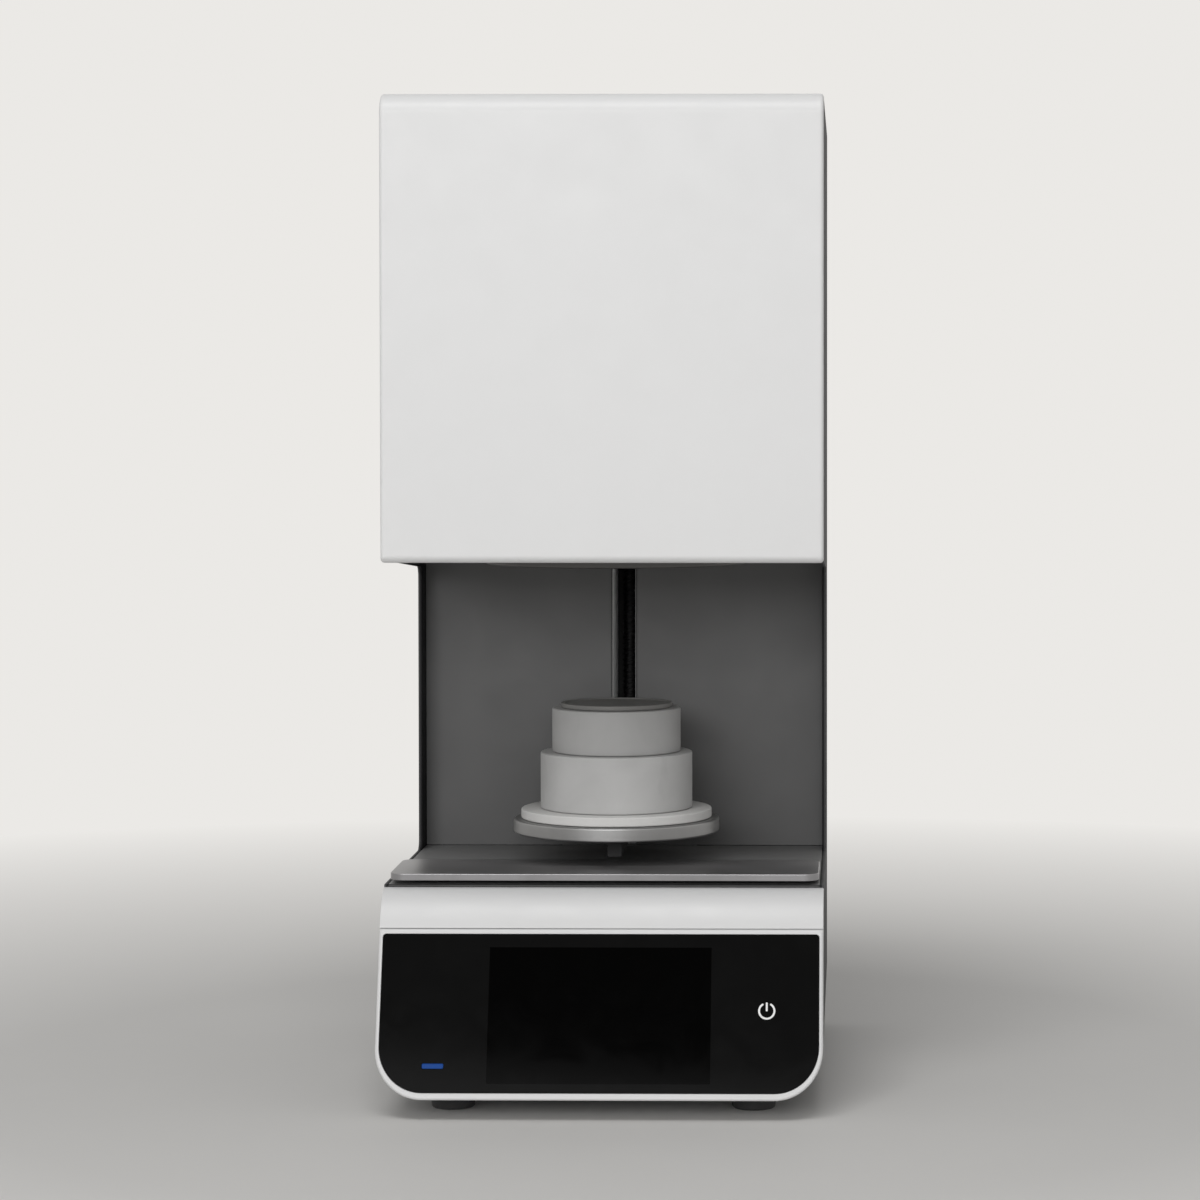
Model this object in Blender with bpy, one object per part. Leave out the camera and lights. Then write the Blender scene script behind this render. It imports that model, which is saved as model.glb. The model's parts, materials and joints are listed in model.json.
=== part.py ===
"""Bench sintering furnace whose platform lifts the work up into the chamber.

Metres, Z up. The origin lies on the floor below the lift's axis, X runs to the right
and Y to the rear. The lift is modelled in its lowest place, with the chamber open.
"""

import math

import bmesh
import bpy

# Cabinet
casing_side_room = 0.038
casing_front_room = 0.035
heater_head_room = 0.0554
floor_clearance = 0.0176
deck_height = 0.181
ceiling_height = 0.445
base_corner = 0.039
cover_sheet = 0.0015
cover_lip = 0.0045
cover_side_bend = 0.003
side_sheet = 0.003
side_flange = 0.008
cover_bend = 0.017
hem_radius = 0.006
hem_depth = 0.015

# Clearances
seam = 0.0003
overrun = 0.005
slot_end_share = 0.49

# Loading bay
bay_wall_gap = 0.0145
bay_edge_lead = 0.030
bay_edge_drop = 0.014
bay_fillet = 0.010
slot_width = 0.020
slot_top_drop = 0.015
slot_liner_sheet = 0.0012
slot_liner_gap = 0.002
slot_sill = 0.003
deck_flange = 0.012

# Rear panel, with its fan and mains fittings
rear_recess = 0.004
rear_sheet = 0.0015
vent_length = 0.050
vent_height = 0.004
vent_pitch = 0.010
vent_rows = 8
upper_vent_rise = 0.155
vent_columns_share = (-0.5, 0.5)
fan_gap = 0.010
fan_size = 0.080
fan_depth = 0.025
fan_corner = 0.005
fan_bore_radius = 0.038
fan_hub_radius = 0.016
fan_hub_depth = 0.018
fan_axle_radius = 0.002
fan_strut_width = 0.005
fan_strut_depth = 0.003
fan_strut_count = 3
fan_blade_count = 7
fan_blade_thickness = 0.0012
fan_blade_pitch = math.radians(42)
fan_blade_clearance = 0.0015
fan_blade_share = 0.8
guard_wire = 0.0016
guard_ring_gap = 0.011
guard_ring_count = 3
guard_spoke_count = 4
inlet_width = 0.027
inlet_height = 0.020
inlet_depth = 0.028
inlet_socket_wall = 0.0025
inlet_socket_depth = 0.018
inlet_pin_width = 0.004
inlet_pin_thickness = 0.002
inlet_pin_spacing = 0.007
inlet_pin_recess = 0.006
inlet_flange_margin = 0.011
inlet_flange_thickness = 0.002
inlet_rise = 0.0444
mains_place_share = 0.60
mains_flange_rise = 0.002
switch_width = 0.021
switch_height = 0.028
switch_depth = 0.020
switch_wall = 0.002
switch_flange_margin = 0.002
switch_flange_thickness = 0.0015
switch_rise = 0.043
rocker_rise = 0.003
rocker_dip = 0.001
rocker_body = 0.004
rocker_tilt = math.radians(8)
rocker_axle_radius = 0.0015
rocker_axle_depth = 0.004

# Base front: a curved brow above a leaning frame that holds the glass
brow_height = 0.032
deck_reveal = 0.002
brow_overhang = 0.011
toe_overhang = 0.0548
moulding_depth = 0.020
moulding_wall = 0.003
moulding_edge = 0.0012
brow_start_share = 0.50
brow_end_share = 0.42
glass_margin = 0.0034
glass_top_margin = 0.0042
glass_bottom_margin = 0.0058
glass_thickness = 0.003
glass_shelf = 0.0035
glass_shelf_thickness = 0.002
glass_top_corner = 0.003
display_width = 0.186
display_margin = 0.0047
display_thickness = 0.008
display_drop = 0.0008
status_side_margin = 0.047
status_rise = 0.0260
status_length = 0.017
status_width = 0.0037
status_depth = 0.008
status_flange = 0.002
status_flange_thickness = 0.0015
power_key_side_margin = 0.0454
power_key_rise = 0.003
power_key_radius = 0.011
power_key_thickness = 0.0016
board_width = 0.150
board_margin = 0.011
board_thickness = 0.0016
board_standoff = 0.010
board_post_radius = 0.003
board_post_margin = 0.008
board_chip_height = 0.006
board_chips_share = ((-0.30, 0.22, 0.22, 0.30), (0.10, -0.18, 0.30, 0.34), (0.36, 0.24, 0.12, 0.24))

# Bottom pan and feet
pan_sheet = 0.0015
foot_radius = 0.019
foot_taper = 0.0015
foot_edge = 0.002
foot_side_margin = 0.057
foot_front_margin = 0.013
foot_rear_margin = 0.041
intake_slot_length = 0.060
intake_slot_width = 0.004
intake_slot_pitch = 0.012
intake_slot_count = 7

# Tray
tray_side_gap = 0.004
tray_front_gap = 0.019
tray_depth = 0.095
tray_height = 0.0057
tray_lift = 0.003
tray_corner = 0.012
tray_edge = 0.0012
tray_sheet = 0.0015
tray_pad_radius = 0.006
tray_pad_margin = 0.020

# Platform on the lift
disc_rise = 0.0256
disc_lap = 0.0025
disc_thickness = 0.012
disc_edge = 0.002
fibre_margin = 0.0167
fibre_thickness = 0.008
fibre_edge = 0.001
plug_lower_radius = 0.0653
plug_lower_height = 0.0482
plug_step = 0.010
plug_upper_height = 0.0378
plug_edge = 0.0015
plate_step = 0.0073
plate_thickness = 0.004
plate_edge = 0.0008
plate_dish = 0.001

# Lift
arm_width = 0.012
arm_height = 0.0145
arm_front_reach = 0.027
arm_head_radius = 0.030
arm_head_thickness = 0.0045
arm_edge = 0.001
carriage_side_margin = 0.017
carriage_depth = 0.030
carriage_height = 0.050
carriage_drop = 0.016
carriage_edge = 0.002
carriage_front_gap = 0.031
carriage_rear_gap = 0.0182
carriage_stop_gap = 0.0133
rod_radius = 0.006
rod_spacing = 0.090
bushing_wall = 0.0045
screw_radius = 0.006
nut_wall = 0.005
nut_flange_radius = 0.0145
nut_flange_thickness = 0.005
bearing_plate_side_margin = 0.030
bearing_plate_thickness = 0.010
upper_plate_gap = 0.0012
rod_socket_depth = 0.006
back_plate_thickness = 0.004
back_plate_rise = 0.018
motor_size = 0.057
motor_length = 0.056
motor_corner = 0.004
motor_pilot_radius = 0.019
motor_pilot_height = 0.0016
motor_bore_depth = 0.005
motor_shaft_radius = 0.004
motor_shaft_length = 0.018
coupling_radius = 0.0095
coupling_height = 0.025
coupling_edge = 0.001
bracket_height = 0.037
bracket_thickness = 0.004

# Chamber
ring_gap = 0.004
ring_width = 0.026
ring_drop = 0.0075
ring_edge = 0.002
chamber_pan_sheet = 0.002
chamber_pan_margin = 0.010
chamber_pan_flange = 0.012
casing_sheet = 0.0015
throat_gap = 0.0027
throat_height = 0.050
throat_boss_gap = 0.003
throat_boss_drop = 0.0033
chamber_radius = 0.086
chamber_height = 0.141
chamber_wall = 0.0542
roof_thickness = 0.080
heater_wall_gap = 0.014
heater_count = 4
heater_radius = 0.006
heater_hang = 0.134
heater_hole_clearance = 0.0015
heater_collar_radius = 0.011
heater_collar_height = 0.012
heater_tail = 0.036
heater_edge = 0.001
terminal_plate_margin = 0.023
terminal_plate_thickness = 0.010
thermocouple_radius = 0.0035
thermocouple_hang = 0.030
thermocouple_head_radius = 0.009
thermocouple_head_height = 0.022
thermocouple_place_share = 0.5

# Electrical pieces in the base
supply_width = 0.086
supply_depth = 0.130
supply_height = 0.042
supply_side_place = 0.084
supply_centre_reach = 0.020
supply_edge = 0.0015
supply_vent_count = 7
supply_vent_width = 0.003
supply_vent_share = 0.6
relay_width = 0.080
relay_depth = 0.110
relay_base = 0.008
relay_fin_height = 0.030
relay_fin_thickness = 0.002
relay_fin_count = 9
relay_side_place = 0.086
relay_centre_reach = 0.020

# Facets of round shapes
large_steps = 40
medium_steps = 28
small_steps = 16
rim_steps = 2
corner_steps = 4
wide_corner_steps = 9

# Finishes: colour, roughness and metallic value
white_paint = ((0.75, 0.75, 0.75), 0.38, 0.0)
dark_paint = ((0.075, 0.075, 0.076), 0.45, 0.0)
bay_paint = ((0.11, 0.11, 0.11), 0.45, 0.0)
polished_steel = ((0.42, 0.42, 0.43), 0.12, 1.0)
brushed_steel = ((0.32, 0.32, 0.32), 0.35, 1.0)
heat_steel = ((0.12, 0.118, 0.115), 0.42, 1.0)
black_steel = ((0.03, 0.03, 0.032), 0.40, 1.0)
zinc_steel = ((0.55, 0.56, 0.57), 0.40, 1.0)
bright_steel = ((0.70, 0.70, 0.71), 0.18, 1.0)
aluminium = ((0.66, 0.67, 0.68), 0.35, 1.0)
bronze = ((0.55, 0.38, 0.18), 0.35, 1.0)
white_fibre = ((0.55, 0.54, 0.52), 0.90, 0.0)
grey_ceramic = ((0.36, 0.35, 0.34), 0.85, 0.0)
dense_ceramic = ((0.30, 0.29, 0.28), 0.60, 0.0)
silicon_carbide = ((0.05, 0.05, 0.055), 0.55, 0.0)
black_glass = ((0.005, 0.005, 0.005), 0.06, 0.0)
black_plastic = ((0.015, 0.015, 0.015), 0.45, 0.0)
black_rubber = ((0.02, 0.02, 0.02), 0.80, 0.0)
blue_light = ((0.02, 0.10, 0.45), 0.30, 0.0)
green_board = ((0.02, 0.12, 0.05), 0.50, 0.0)

# Round pieces, each fitted to the one inside it
plug_upper_radius = plug_lower_radius - plug_step
plate_radius = plug_upper_radius - plate_step
fibre_radius = plug_lower_radius + fibre_margin
ring_inner_radius = fibre_radius + ring_gap
ring_outer_radius = ring_inner_radius + ring_width
disc_radius = ring_inner_radius + disc_lap
throat_radius = plug_lower_radius + throat_gap
throat_boss_radius = ring_inner_radius - throat_boss_gap
heater_circle_radius = chamber_radius - heater_wall_gap
terminal_plate_reach = heater_circle_radius + terminal_plate_margin

# Places from the chamber's axis outwards
block_half_width = chamber_radius + chamber_wall
casing_inside = block_half_width + seam
casing_half_width = casing_inside + casing_sheet
half_width = casing_half_width + casing_side_room
inner_half_width = half_width - side_sheet - seam
front_reach = casing_half_width + casing_front_room
brow_seam_reach = front_reach + brow_overhang
toe_reach = front_reach + toe_overhang
tray_front_reach = front_reach - tray_front_gap
bay_wall_reach = disc_radius + bay_wall_gap
bay_edge_reach = bay_wall_reach - bay_edge_lead
chamber_pan_rear = casing_half_width + chamber_pan_margin
carriage_half_width = rod_spacing / 2 + carriage_side_margin
bearing_plate_half_width = rod_spacing / 2 + bearing_plate_side_margin
carriage_front = casing_half_width + carriage_front_gap
lift_axis_reach = carriage_front + carriage_depth / 2
back_plate_front = carriage_front + carriage_depth + carriage_rear_gap
rear_inside = back_plate_front + back_plate_thickness + seam
rear_outside = rear_inside + rear_sheet
rear_reach = rear_outside + rear_recess
fan_rear = rear_inside - seam
fan_front = fan_rear - fan_depth
mains_place = half_width * mains_place_share
status_place = half_width - status_side_margin
power_key_place = half_width - power_key_side_margin

# Heights from the floor up
pan_top = floor_clearance + pan_sheet
inlet_centre_height = floor_clearance + inlet_rise
switch_centre_height = inlet_centre_height + switch_rise
brow_seam_height = deck_height - brow_height
brow_top = deck_height - deck_reveal
glass_bottom = floor_clearance + glass_bottom_margin
glass_top = brow_seam_height - glass_top_margin
display_centre_height = (glass_bottom + glass_top) / 2 - display_drop
display_height = glass_top - glass_bottom - display_margin * 2
status_height = floor_clearance + status_rise
power_key_height = display_centre_height + power_key_rise
board_height = display_height - board_margin * 2
disc_bottom = deck_height + disc_rise
disc_top = disc_bottom + disc_thickness
fibre_bottom = disc_top + seam
fibre_top = fibre_bottom + fibre_thickness
plug_lower_bottom = fibre_top + seam
plug_lower_top = plug_lower_bottom + plug_lower_height
plug_upper_bottom = plug_lower_top + seam
plug_upper_top = plug_upper_bottom + plug_upper_height
arm_head_top = disc_bottom - seam
arm_top = arm_head_top - arm_head_thickness
arm_bottom = arm_top - arm_height
carriage_bottom = arm_bottom - carriage_drop
lower_plate_height = carriage_bottom - carriage_stop_gap - bearing_plate_thickness
motor_top = lower_plate_height - bracket_height
bay_edge_top = ceiling_height - bay_edge_drop
slot_top = ceiling_height - slot_top_drop
chamber_pan_bottom = ceiling_height + cover_sheet + seam
chamber_pan_top = chamber_pan_bottom + chamber_pan_sheet
upper_plate_height = chamber_pan_top + chamber_pan_flange + upper_plate_gap
back_plate_top = upper_plate_height + bearing_plate_thickness + back_plate_rise
fan_height = back_plate_top + fan_gap + fan_size / 2
upper_vent_height = ceiling_height + upper_vent_rise
throat_bottom = chamber_pan_top + seam
throat_top = throat_bottom + throat_height
wall_bottom = throat_top + seam
wall_top = wall_bottom + chamber_height
roof_bottom = wall_top + seam
roof_top = roof_bottom + roof_thickness
casing_top = roof_top + seam + casing_sheet
terminal_plate_bottom = casing_top + seam
terminal_plate_top = terminal_plate_bottom + terminal_plate_thickness
heater_top = terminal_plate_top + seam + heater_tail
cabinet_height = heater_top + heater_head_room + cover_sheet
side_top = cabinet_height - cover_sheet - seam


def clear_scene():
    """Start from an empty scene."""
    for thing in list(bpy.data.objects):
        bpy.data.objects.remove(thing, do_unlink=True)


def new_material(name, finish):
    """Make the plain material of one piece."""
    colour, roughness, metallic = finish
    material = bpy.data.materials.new(name + "_finish")
    material.use_nodes = True
    shader = material.node_tree.nodes["Principled BSDF"]
    shader.inputs["Base Color"].default_value = (*colour, 1)
    shader.inputs["Roughness"].default_value = roughness
    shader.inputs["Metallic"].default_value = metallic
    material.diffuse_color = (*colour, 1)
    return material


def new_object(name, shape):
    """Turn a bmesh into an object in the scene."""
    bmesh.ops.recalc_face_normals(shape, faces=shape.faces)
    mesh = bpy.data.meshes.new(name)
    shape.to_mesh(mesh)
    shape.free()
    thing = bpy.data.objects.new(name, mesh)
    bpy.context.scene.collection.objects.link(thing)
    return thing


def new_piece(name, shape, finish):
    """Add one piece of the furnace, shaded smooth except over its real edges."""
    thing = new_object(name, shape)
    thing.data.materials.append(new_material(name, finish))
    thing.data.shade_smooth()
    thing.data.set_sharp_from_angle(angle=math.radians(32))
    return thing


def move_origin(thing, place):
    """Put a moving piece's origin on its joint's axis without moving its shape."""
    for vertex in thing.data.vertices:
        for axis in range(3):
            vertex.co[axis] -= place[axis]
    thing.location = place


def combine(thing, shape, name, operation):
    """Cut, join or intersect a piece with a helper solid."""
    helper = new_object(name, shape)
    helper.hide_render = True
    helper.display_type = "WIRE"
    modifier = thing.modifiers.new(name, "BOOLEAN")
    modifier.operation = operation
    modifier.object = helper
    modifier.solver = "EXACT"


def cut(thing, shape, name):
    """Take a helper solid away from a piece."""
    combine(thing, shape, thing.name + "_cut_" + name, "DIFFERENCE")


def join(thing, shape, name):
    """Add a helper solid to a piece."""
    combine(thing, shape, thing.name + "_add_" + name, "UNION")


def soften(thing, width, segments=2):
    """Round a piece's real edges."""
    modifier = thing.modifiers.new("softened_edges", "BEVEL")
    modifier.width = width
    modifier.segments = segments
    modifier.limit_method = "ANGLE"
    modifier.angle_limit = math.radians(40)


def rounded(corners, steps=corner_steps):
    """Give the outline through corners (a, b, radius), with an arc at each round corner."""
    points = []
    count = len(corners)
    for index, (a, b, radius) in enumerate(corners):
        before = corners[index - 1]
        after = corners[(index + 1) % count]
        if radius == 0:
            points.append((a, b))
            continue
        back = (before[0] - a, before[1] - b)
        ahead = (after[0] - a, after[1] - b)
        back_length = math.hypot(*back)
        ahead_length = math.hypot(*ahead)
        back = (back[0] / back_length, back[1] / back_length)
        ahead = (ahead[0] / ahead_length, ahead[1] / ahead_length)
        opening = math.acos(back[0] * ahead[0] + back[1] * ahead[1])
        middle = (back[0] + ahead[0], back[1] + ahead[1])
        middle_length = math.hypot(*middle)
        reach = radius / math.sin(opening / 2)
        centre = (a + middle[0] / middle_length * reach, b + middle[1] / middle_length * reach)
        tangent = radius / math.tan(opening / 2)
        first = (a + back[0] * tangent, b + back[1] * tangent)
        last = (a + ahead[0] * tangent, b + ahead[1] * tangent)
        start = math.atan2(first[1] - centre[1], first[0] - centre[0])
        end = math.atan2(last[1] - centre[1], last[0] - centre[0])
        sweep = (end - start + math.pi) % math.tau - math.pi
        for step in range(steps + 1):
            angle = start + sweep * step / steps
            points.append((centre[0] + radius * math.cos(angle), centre[1] + radius * math.sin(angle)))
    return points


def rectangle(low_a, high_a, low_b, high_b, radius=0, steps=corner_steps):
    """Give a rectangle's outline, with its corners rounded."""
    corners = [(a, b, radius) for a, b in ((low_a, low_b), (high_a, low_b), (high_a, high_b), (low_a, high_b))]
    return rounded(corners, steps)


def circle(centre_a, centre_b, radius, steps):
    """Give a circle's outline."""
    points = []
    for step in range(steps):
        angle = math.tau * step / steps
        points.append((centre_a + radius * math.cos(angle), centre_b + radius * math.sin(angle)))
    return points


def place_point(axis, level, a, b):
    """Put an outline's point at a level along one axis."""
    if axis == "X":
        return (level, a, b)
    if axis == "Y":
        return (a, level, b)
    return (a, b, level)


def prism(outline, axis, low, high):
    """Extrude a closed outline along one axis, from one level to another."""
    shape = bmesh.new()
    vertices = [shape.verts.new(place_point(axis, low, a, b)) for a, b in outline]
    base = shape.faces.new(vertices)
    travel = place_point(axis, high - low, 0, 0)
    extruded = bmesh.ops.extrude_face_region(shape, geom=[base])
    moved = [item for item in extruded["geom"] if isinstance(item, bmesh.types.BMVert)]
    bmesh.ops.translate(shape, verts=moved, vec=travel)
    bmesh.ops.recalc_face_normals(shape, faces=shape.faces)
    return shape


def block(low_x, high_x, low_y, high_y, low_z, high_z):
    """Make a plain rectangular solid."""
    return prism(rectangle(low_x, high_x, low_y, high_y), "Z", low_z, high_z)


def add_shape(shape, extra):
    """Put a second bmesh into the first one."""
    mesh = bpy.data.meshes.new("extra")
    extra.to_mesh(mesh)
    extra.free()
    shape.from_mesh(mesh)
    bpy.data.meshes.remove(mesh)


def turned(profile, steps, centre_x=0, centre_y=0):
    """Turn a closed profile of (radius, height) points about an upright axis."""
    shape = bmesh.new()
    vertices = [shape.verts.new((radius, 0, height)) for radius, height in profile]
    for index, vertex in enumerate(vertices):
        shape.edges.new((vertices[index - 1], vertex))
    bmesh.ops.spin(
        shape,
        geom=shape.verts[:] + shape.edges[:],
        cent=(0, 0, 0),
        axis=(0, 0, 1),
        angle=math.tau,
        steps=steps,
        use_merge=True,
    )
    bmesh.ops.remove_doubles(shape, verts=shape.verts, dist=seam / steps)
    axis_edges = [edge for edge in shape.edges if not edge.link_faces]
    bmesh.ops.delete(shape, geom=axis_edges, context="EDGES")
    bmesh.ops.translate(shape, verts=shape.verts, vec=(centre_x, centre_y, 0))
    bmesh.ops.recalc_face_normals(shape, faces=shape.faces)
    return shape


def disc(radius, low, high, edge, steps=1):
    """Give the profile of a solid disc with rounded rims."""
    corners = [(0, low, 0), (radius, low, edge), (radius, high, edge), (0, high, 0)]
    return rounded(corners, steps)


def tube(inner, outer, low, high):
    """Give the profile of a plain tube."""
    return [(inner, low), (outer, low), (outer, high), (inner, high)]


def front_line(height, depth):
    """Give the place of the leaning front face at a height, at a depth behind it."""
    lean = (toe_reach - brow_seam_reach) / (brow_seam_height - floor_clearance)
    return depth - brow_seam_reach - lean * (brow_seam_height - height)


def leaning_prism(outline, front, rear):
    """Extrude an outline of (x, height) points between two depths behind the leaning face."""
    shape = bmesh.new()
    near = [shape.verts.new((x, front_line(height, front), height)) for x, height in outline]
    far = [shape.verts.new((x, front_line(height, rear), height)) for x, height in outline]
    shape.faces.new(near)
    shape.faces.new(far)
    for index in range(len(outline)):
        shape.faces.new((near[index - 1], near[index], far[index], far[index - 1]))
    bmesh.ops.recalc_face_normals(shape, faces=shape.faces)
    return shape


def stacked(outlines):
    """Join outlines of (y, height) points, each at its own place along X, into one solid."""
    shape = bmesh.new()
    rows = [[shape.verts.new((x, y, z)) for y, z in outline] for x, outline in outlines]
    shape.faces.new(rows[0])
    shape.faces.new(rows[-1])
    for near, far in zip(rows, rows[1:]):
        for index in range(len(near)):
            shape.faces.new((near[index - 1], near[index], far[index], far[index - 1]))
    bmesh.ops.recalc_face_normals(shape, faces=shape.faces)
    return shape


def cover_path(inset, reach=0):
    """Give the cover's line in the side view, inset from its outer face and drawn out at both ends."""
    front = inset - front_reach
    low = ceiling_height + inset
    high = cabinet_height - inset
    corners = [
        (hem_depth - front_reach + reach, low, 0),
        (front, low, max(hem_radius - inset, 0)),
        (front, high, cover_bend - inset),
        (rear_reach + reach, high, 0),
    ]
    return rounded(corners, wide_corner_steps)


def cover_solid(inset, back, reach):
    """Give the band between two insets of the cover, with its ends rounded at the sides."""
    bend = cover_side_bend - inset
    outlines = []
    for step in range(rim_steps + 1):
        angle = math.pi / 2 * step / rim_steps
        x = half_width - inset - bend * (1 - math.cos(angle))
        line = cover_path(inset + bend * (1 - math.sin(angle)), reach)
        outlines.append((x, line + cover_path(back, reach)[::-1]))
    mirrored = [(-x, outline) for x, outline in outlines[::-1]]
    return stacked(outlines + mirrored)


def upper_cover():
    """White sheet that rises from a rolled hem, bends over the top and is folded back at its sides."""
    cover = new_piece("upper_cover", cover_solid(0, cover_lip, 0), white_paint)
    cut(cover, cover_solid(cover_sheet, cover_lip + overrun, overrun), "inside")


def side_outline():
    """Give the C-shaped outline of a side panel, seen from the side."""
    tuck = cover_lip + seam
    low = floor_clearance - overrun
    high = cabinet_height - tuck
    hem_rear = hem_depth + seam - front_reach
    corners = [
        (front_line(low, moulding_depth + seam), low, 0),
        (rear_reach, low, 0),
        (rear_reach, high, 0),
        (tuck - front_reach, high, cover_bend - tuck),
        (tuck - front_reach, ceiling_height + tuck, max(hem_radius - tuck, 0)),
        (hem_rear, ceiling_height + tuck, 0),
        (hem_rear, ceiling_height + cover_sheet + seam, 0),
        (bay_edge_reach, bay_edge_top, bay_fillet),
        (bay_edge_reach, deck_height, bay_fillet),
        (front_line(deck_height, moulding_depth + seam), deck_height, 0),
    ]
    return rounded(corners, wide_corner_steps)


def side_panel(name, side):
    """Dark sheet that closes one side and curves under the base."""
    path = []
    for inset in (0, side_sheet):
        reach = half_width - inset
        low = floor_clearance + inset
        arc = [
            (reach, cabinet_height, 0),
            (reach, low, base_corner - inset),
            (half_width - base_corner - side_flange, low, 0),
        ]
        points = rounded(arc, wide_corner_steps)
        path.extend(points if inset == 0 else points[::-1])
    section = [(side * x, height) for x, height in path]
    panel = new_piece(name, prism(section, "Y", -toe_reach, rear_reach + overrun), dark_paint)
    ends = sorted((side * (half_width + overrun), side * (half_width - base_corner - side_flange - overrun)))
    outline = prism(side_outline(), "X", *ends)
    combine(panel, outline, name + "_outline", "INTERSECT")


def rear_panel():
    """Sheet that closes the rear, with its vents and the openings for fan and mains."""
    low = floor_clearance + side_sheet + seam
    corner = base_corner - side_sheet - seam
    corners = [
        (-inner_half_width, low, corner),
        (inner_half_width, low, corner),
        (inner_half_width, side_top, 0),
        (-inner_half_width, side_top, 0),
    ]
    sheet = prism(rounded(corners, wide_corner_steps), "Y", rear_inside, rear_outside)
    panel = new_piece("rear_panel", sheet, dark_paint)
    near = rear_inside - overrun
    far = rear_outside + overrun
    openings = prism(circle(0, fan_height, fan_bore_radius, medium_steps), "Y", near, far)
    for width, height, centre in (
        (inlet_width, inlet_height, inlet_centre_height),
        (switch_width, switch_height, switch_centre_height),
    ):
        reach = width / 2 + seam
        rise = height / 2 + seam
        outline = rectangle(mains_place - reach, mains_place + reach, centre - rise, centre + rise)
        add_shape(openings, prism(outline, "Y", near, far))
    for share in vent_columns_share:
        middle = half_width * share
        for row in range(vent_rows):
            level = upper_vent_height + vent_pitch * row
            outline = rectangle(
                middle - vent_length / 2,
                middle + vent_length / 2,
                level,
                level + vent_height,
                vent_height * slot_end_share,
                1,
            )
            add_shape(openings, prism(outline, "Y", near, far))
    cut(panel, openings, "openings")


def bay_wall():
    """Rear wall of the loading bay, open where the lift's arm comes through."""
    low = deck_height + seam
    high = chamber_pan_bottom - seam
    outline = rectangle(-inner_half_width, inner_half_width, low, high)
    wall = new_piece("bay_wall", prism(outline, "Y", bay_wall_reach, bay_wall_reach + cover_sheet), bay_paint)
    reach = slot_width / 2 + slot_liner_sheet + seam
    rise = slot_liner_sheet + seam
    slot = rectangle(-reach, reach, deck_height + slot_sill - rise, slot_top + rise)
    cut(wall, prism(slot, "Y", bay_wall_reach - overrun, bay_wall_reach + cover_sheet + overrun), "slot")
    ring = circle(0, 0, ring_outer_radius + seam, large_steps)
    cut(wall, prism(ring, "Z", ceiling_height - ring_drop - seam, high + overrun), "ring")


def slot_liner():
    """Folded sheet that lines the arm's slot and reaches back to the carriage."""
    reach = slot_width / 2
    low = deck_height + slot_sill
    rear = carriage_front - slot_liner_gap
    outer = rectangle(
        -reach - slot_liner_sheet,
        reach + slot_liner_sheet,
        low - slot_liner_sheet,
        slot_top + slot_liner_sheet,
    )
    liner = new_piece("slot_liner", prism(outer, "Y", bay_wall_reach, rear), bay_paint)
    inner = rectangle(-reach, reach, low, slot_top)
    cut(liner, prism(inner, "Y", bay_wall_reach - overrun, rear + overrun), "slot")


def base_deck():
    """Top sheet of the base, folded down along its front and rear."""
    front = front_line(deck_height, moulding_depth + seam)
    rear = bay_wall_reach + cover_sheet
    low = deck_height - cover_sheet - deck_flange
    outline = [
        (front, deck_height),
        (rear, deck_height),
        (rear, low),
        (rear - cover_sheet, low),
        (rear - cover_sheet, deck_height - cover_sheet),
        (front + cover_sheet, deck_height - cover_sheet),
        (front + cover_sheet, low),
        (front, low),
    ]
    new_piece("base_deck", prism(outline, "X", -inner_half_width, inner_half_width), bay_paint)


def bottom_pan():
    """Sheet that closes the base from below, with slots that let cooling air in."""
    reach = half_width - base_corner - side_flange - seam
    front = front_line(pan_top, moulding_depth + seam)
    sheet = block(-reach, reach, front, rear_reach, floor_clearance, pan_top)
    pan = new_piece("bottom_pan", sheet, zinc_steel)
    slots = bmesh.new()
    for index in range(intake_slot_count):
        middle = intake_slot_pitch * (index - (intake_slot_count - 1) / 2)
        outline = rectangle(
            middle - intake_slot_width / 2,
            middle + intake_slot_width / 2,
            -intake_slot_length / 2,
            intake_slot_length / 2,
            intake_slot_width * slot_end_share,
            1,
        )
        add_shape(slots, prism(outline, "Z", floor_clearance - overrun, pan_top + overrun))
    cut(pan, slots, "slots")


def foot(name, x, y):
    """Rubber foot, a little narrower at the floor."""
    top = floor_clearance - seam
    corners = [(0, 0, 0), (foot_radius - foot_taper, 0, foot_edge), (foot_radius, top, 0), (0, top, 0)]
    new_piece(name, turned(rounded(corners, rim_steps), small_steps, x, y), black_rubber)


def brow_curve():
    """Give the brow's front curve in the side view, from the deck down to the leaning face."""
    top = (front_line(brow_top, moulding_depth), brow_top)
    bottom = (-brow_seam_reach, brow_seam_height + seam)
    rise = brow_top - brow_seam_height
    first = (top[0] - rise * brow_start_share, top[1])
    second = (front_line(bottom[1] + rise * brow_end_share, 0), bottom[1] + rise * brow_end_share)
    points = []
    for step in range(wide_corner_steps + 1):
        share = step / wide_corner_steps
        rest = 1 - share
        weights = (rest**3, 3 * rest * rest * share, 3 * rest * share * share, share**3)
        y = sum(weight * point[0] for weight, point in zip(weights, (top, first, second, bottom)))
        z = sum(weight * point[1] for weight, point in zip(weights, (top, first, second, bottom)))
        points.append((y, z))
    return points


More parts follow.
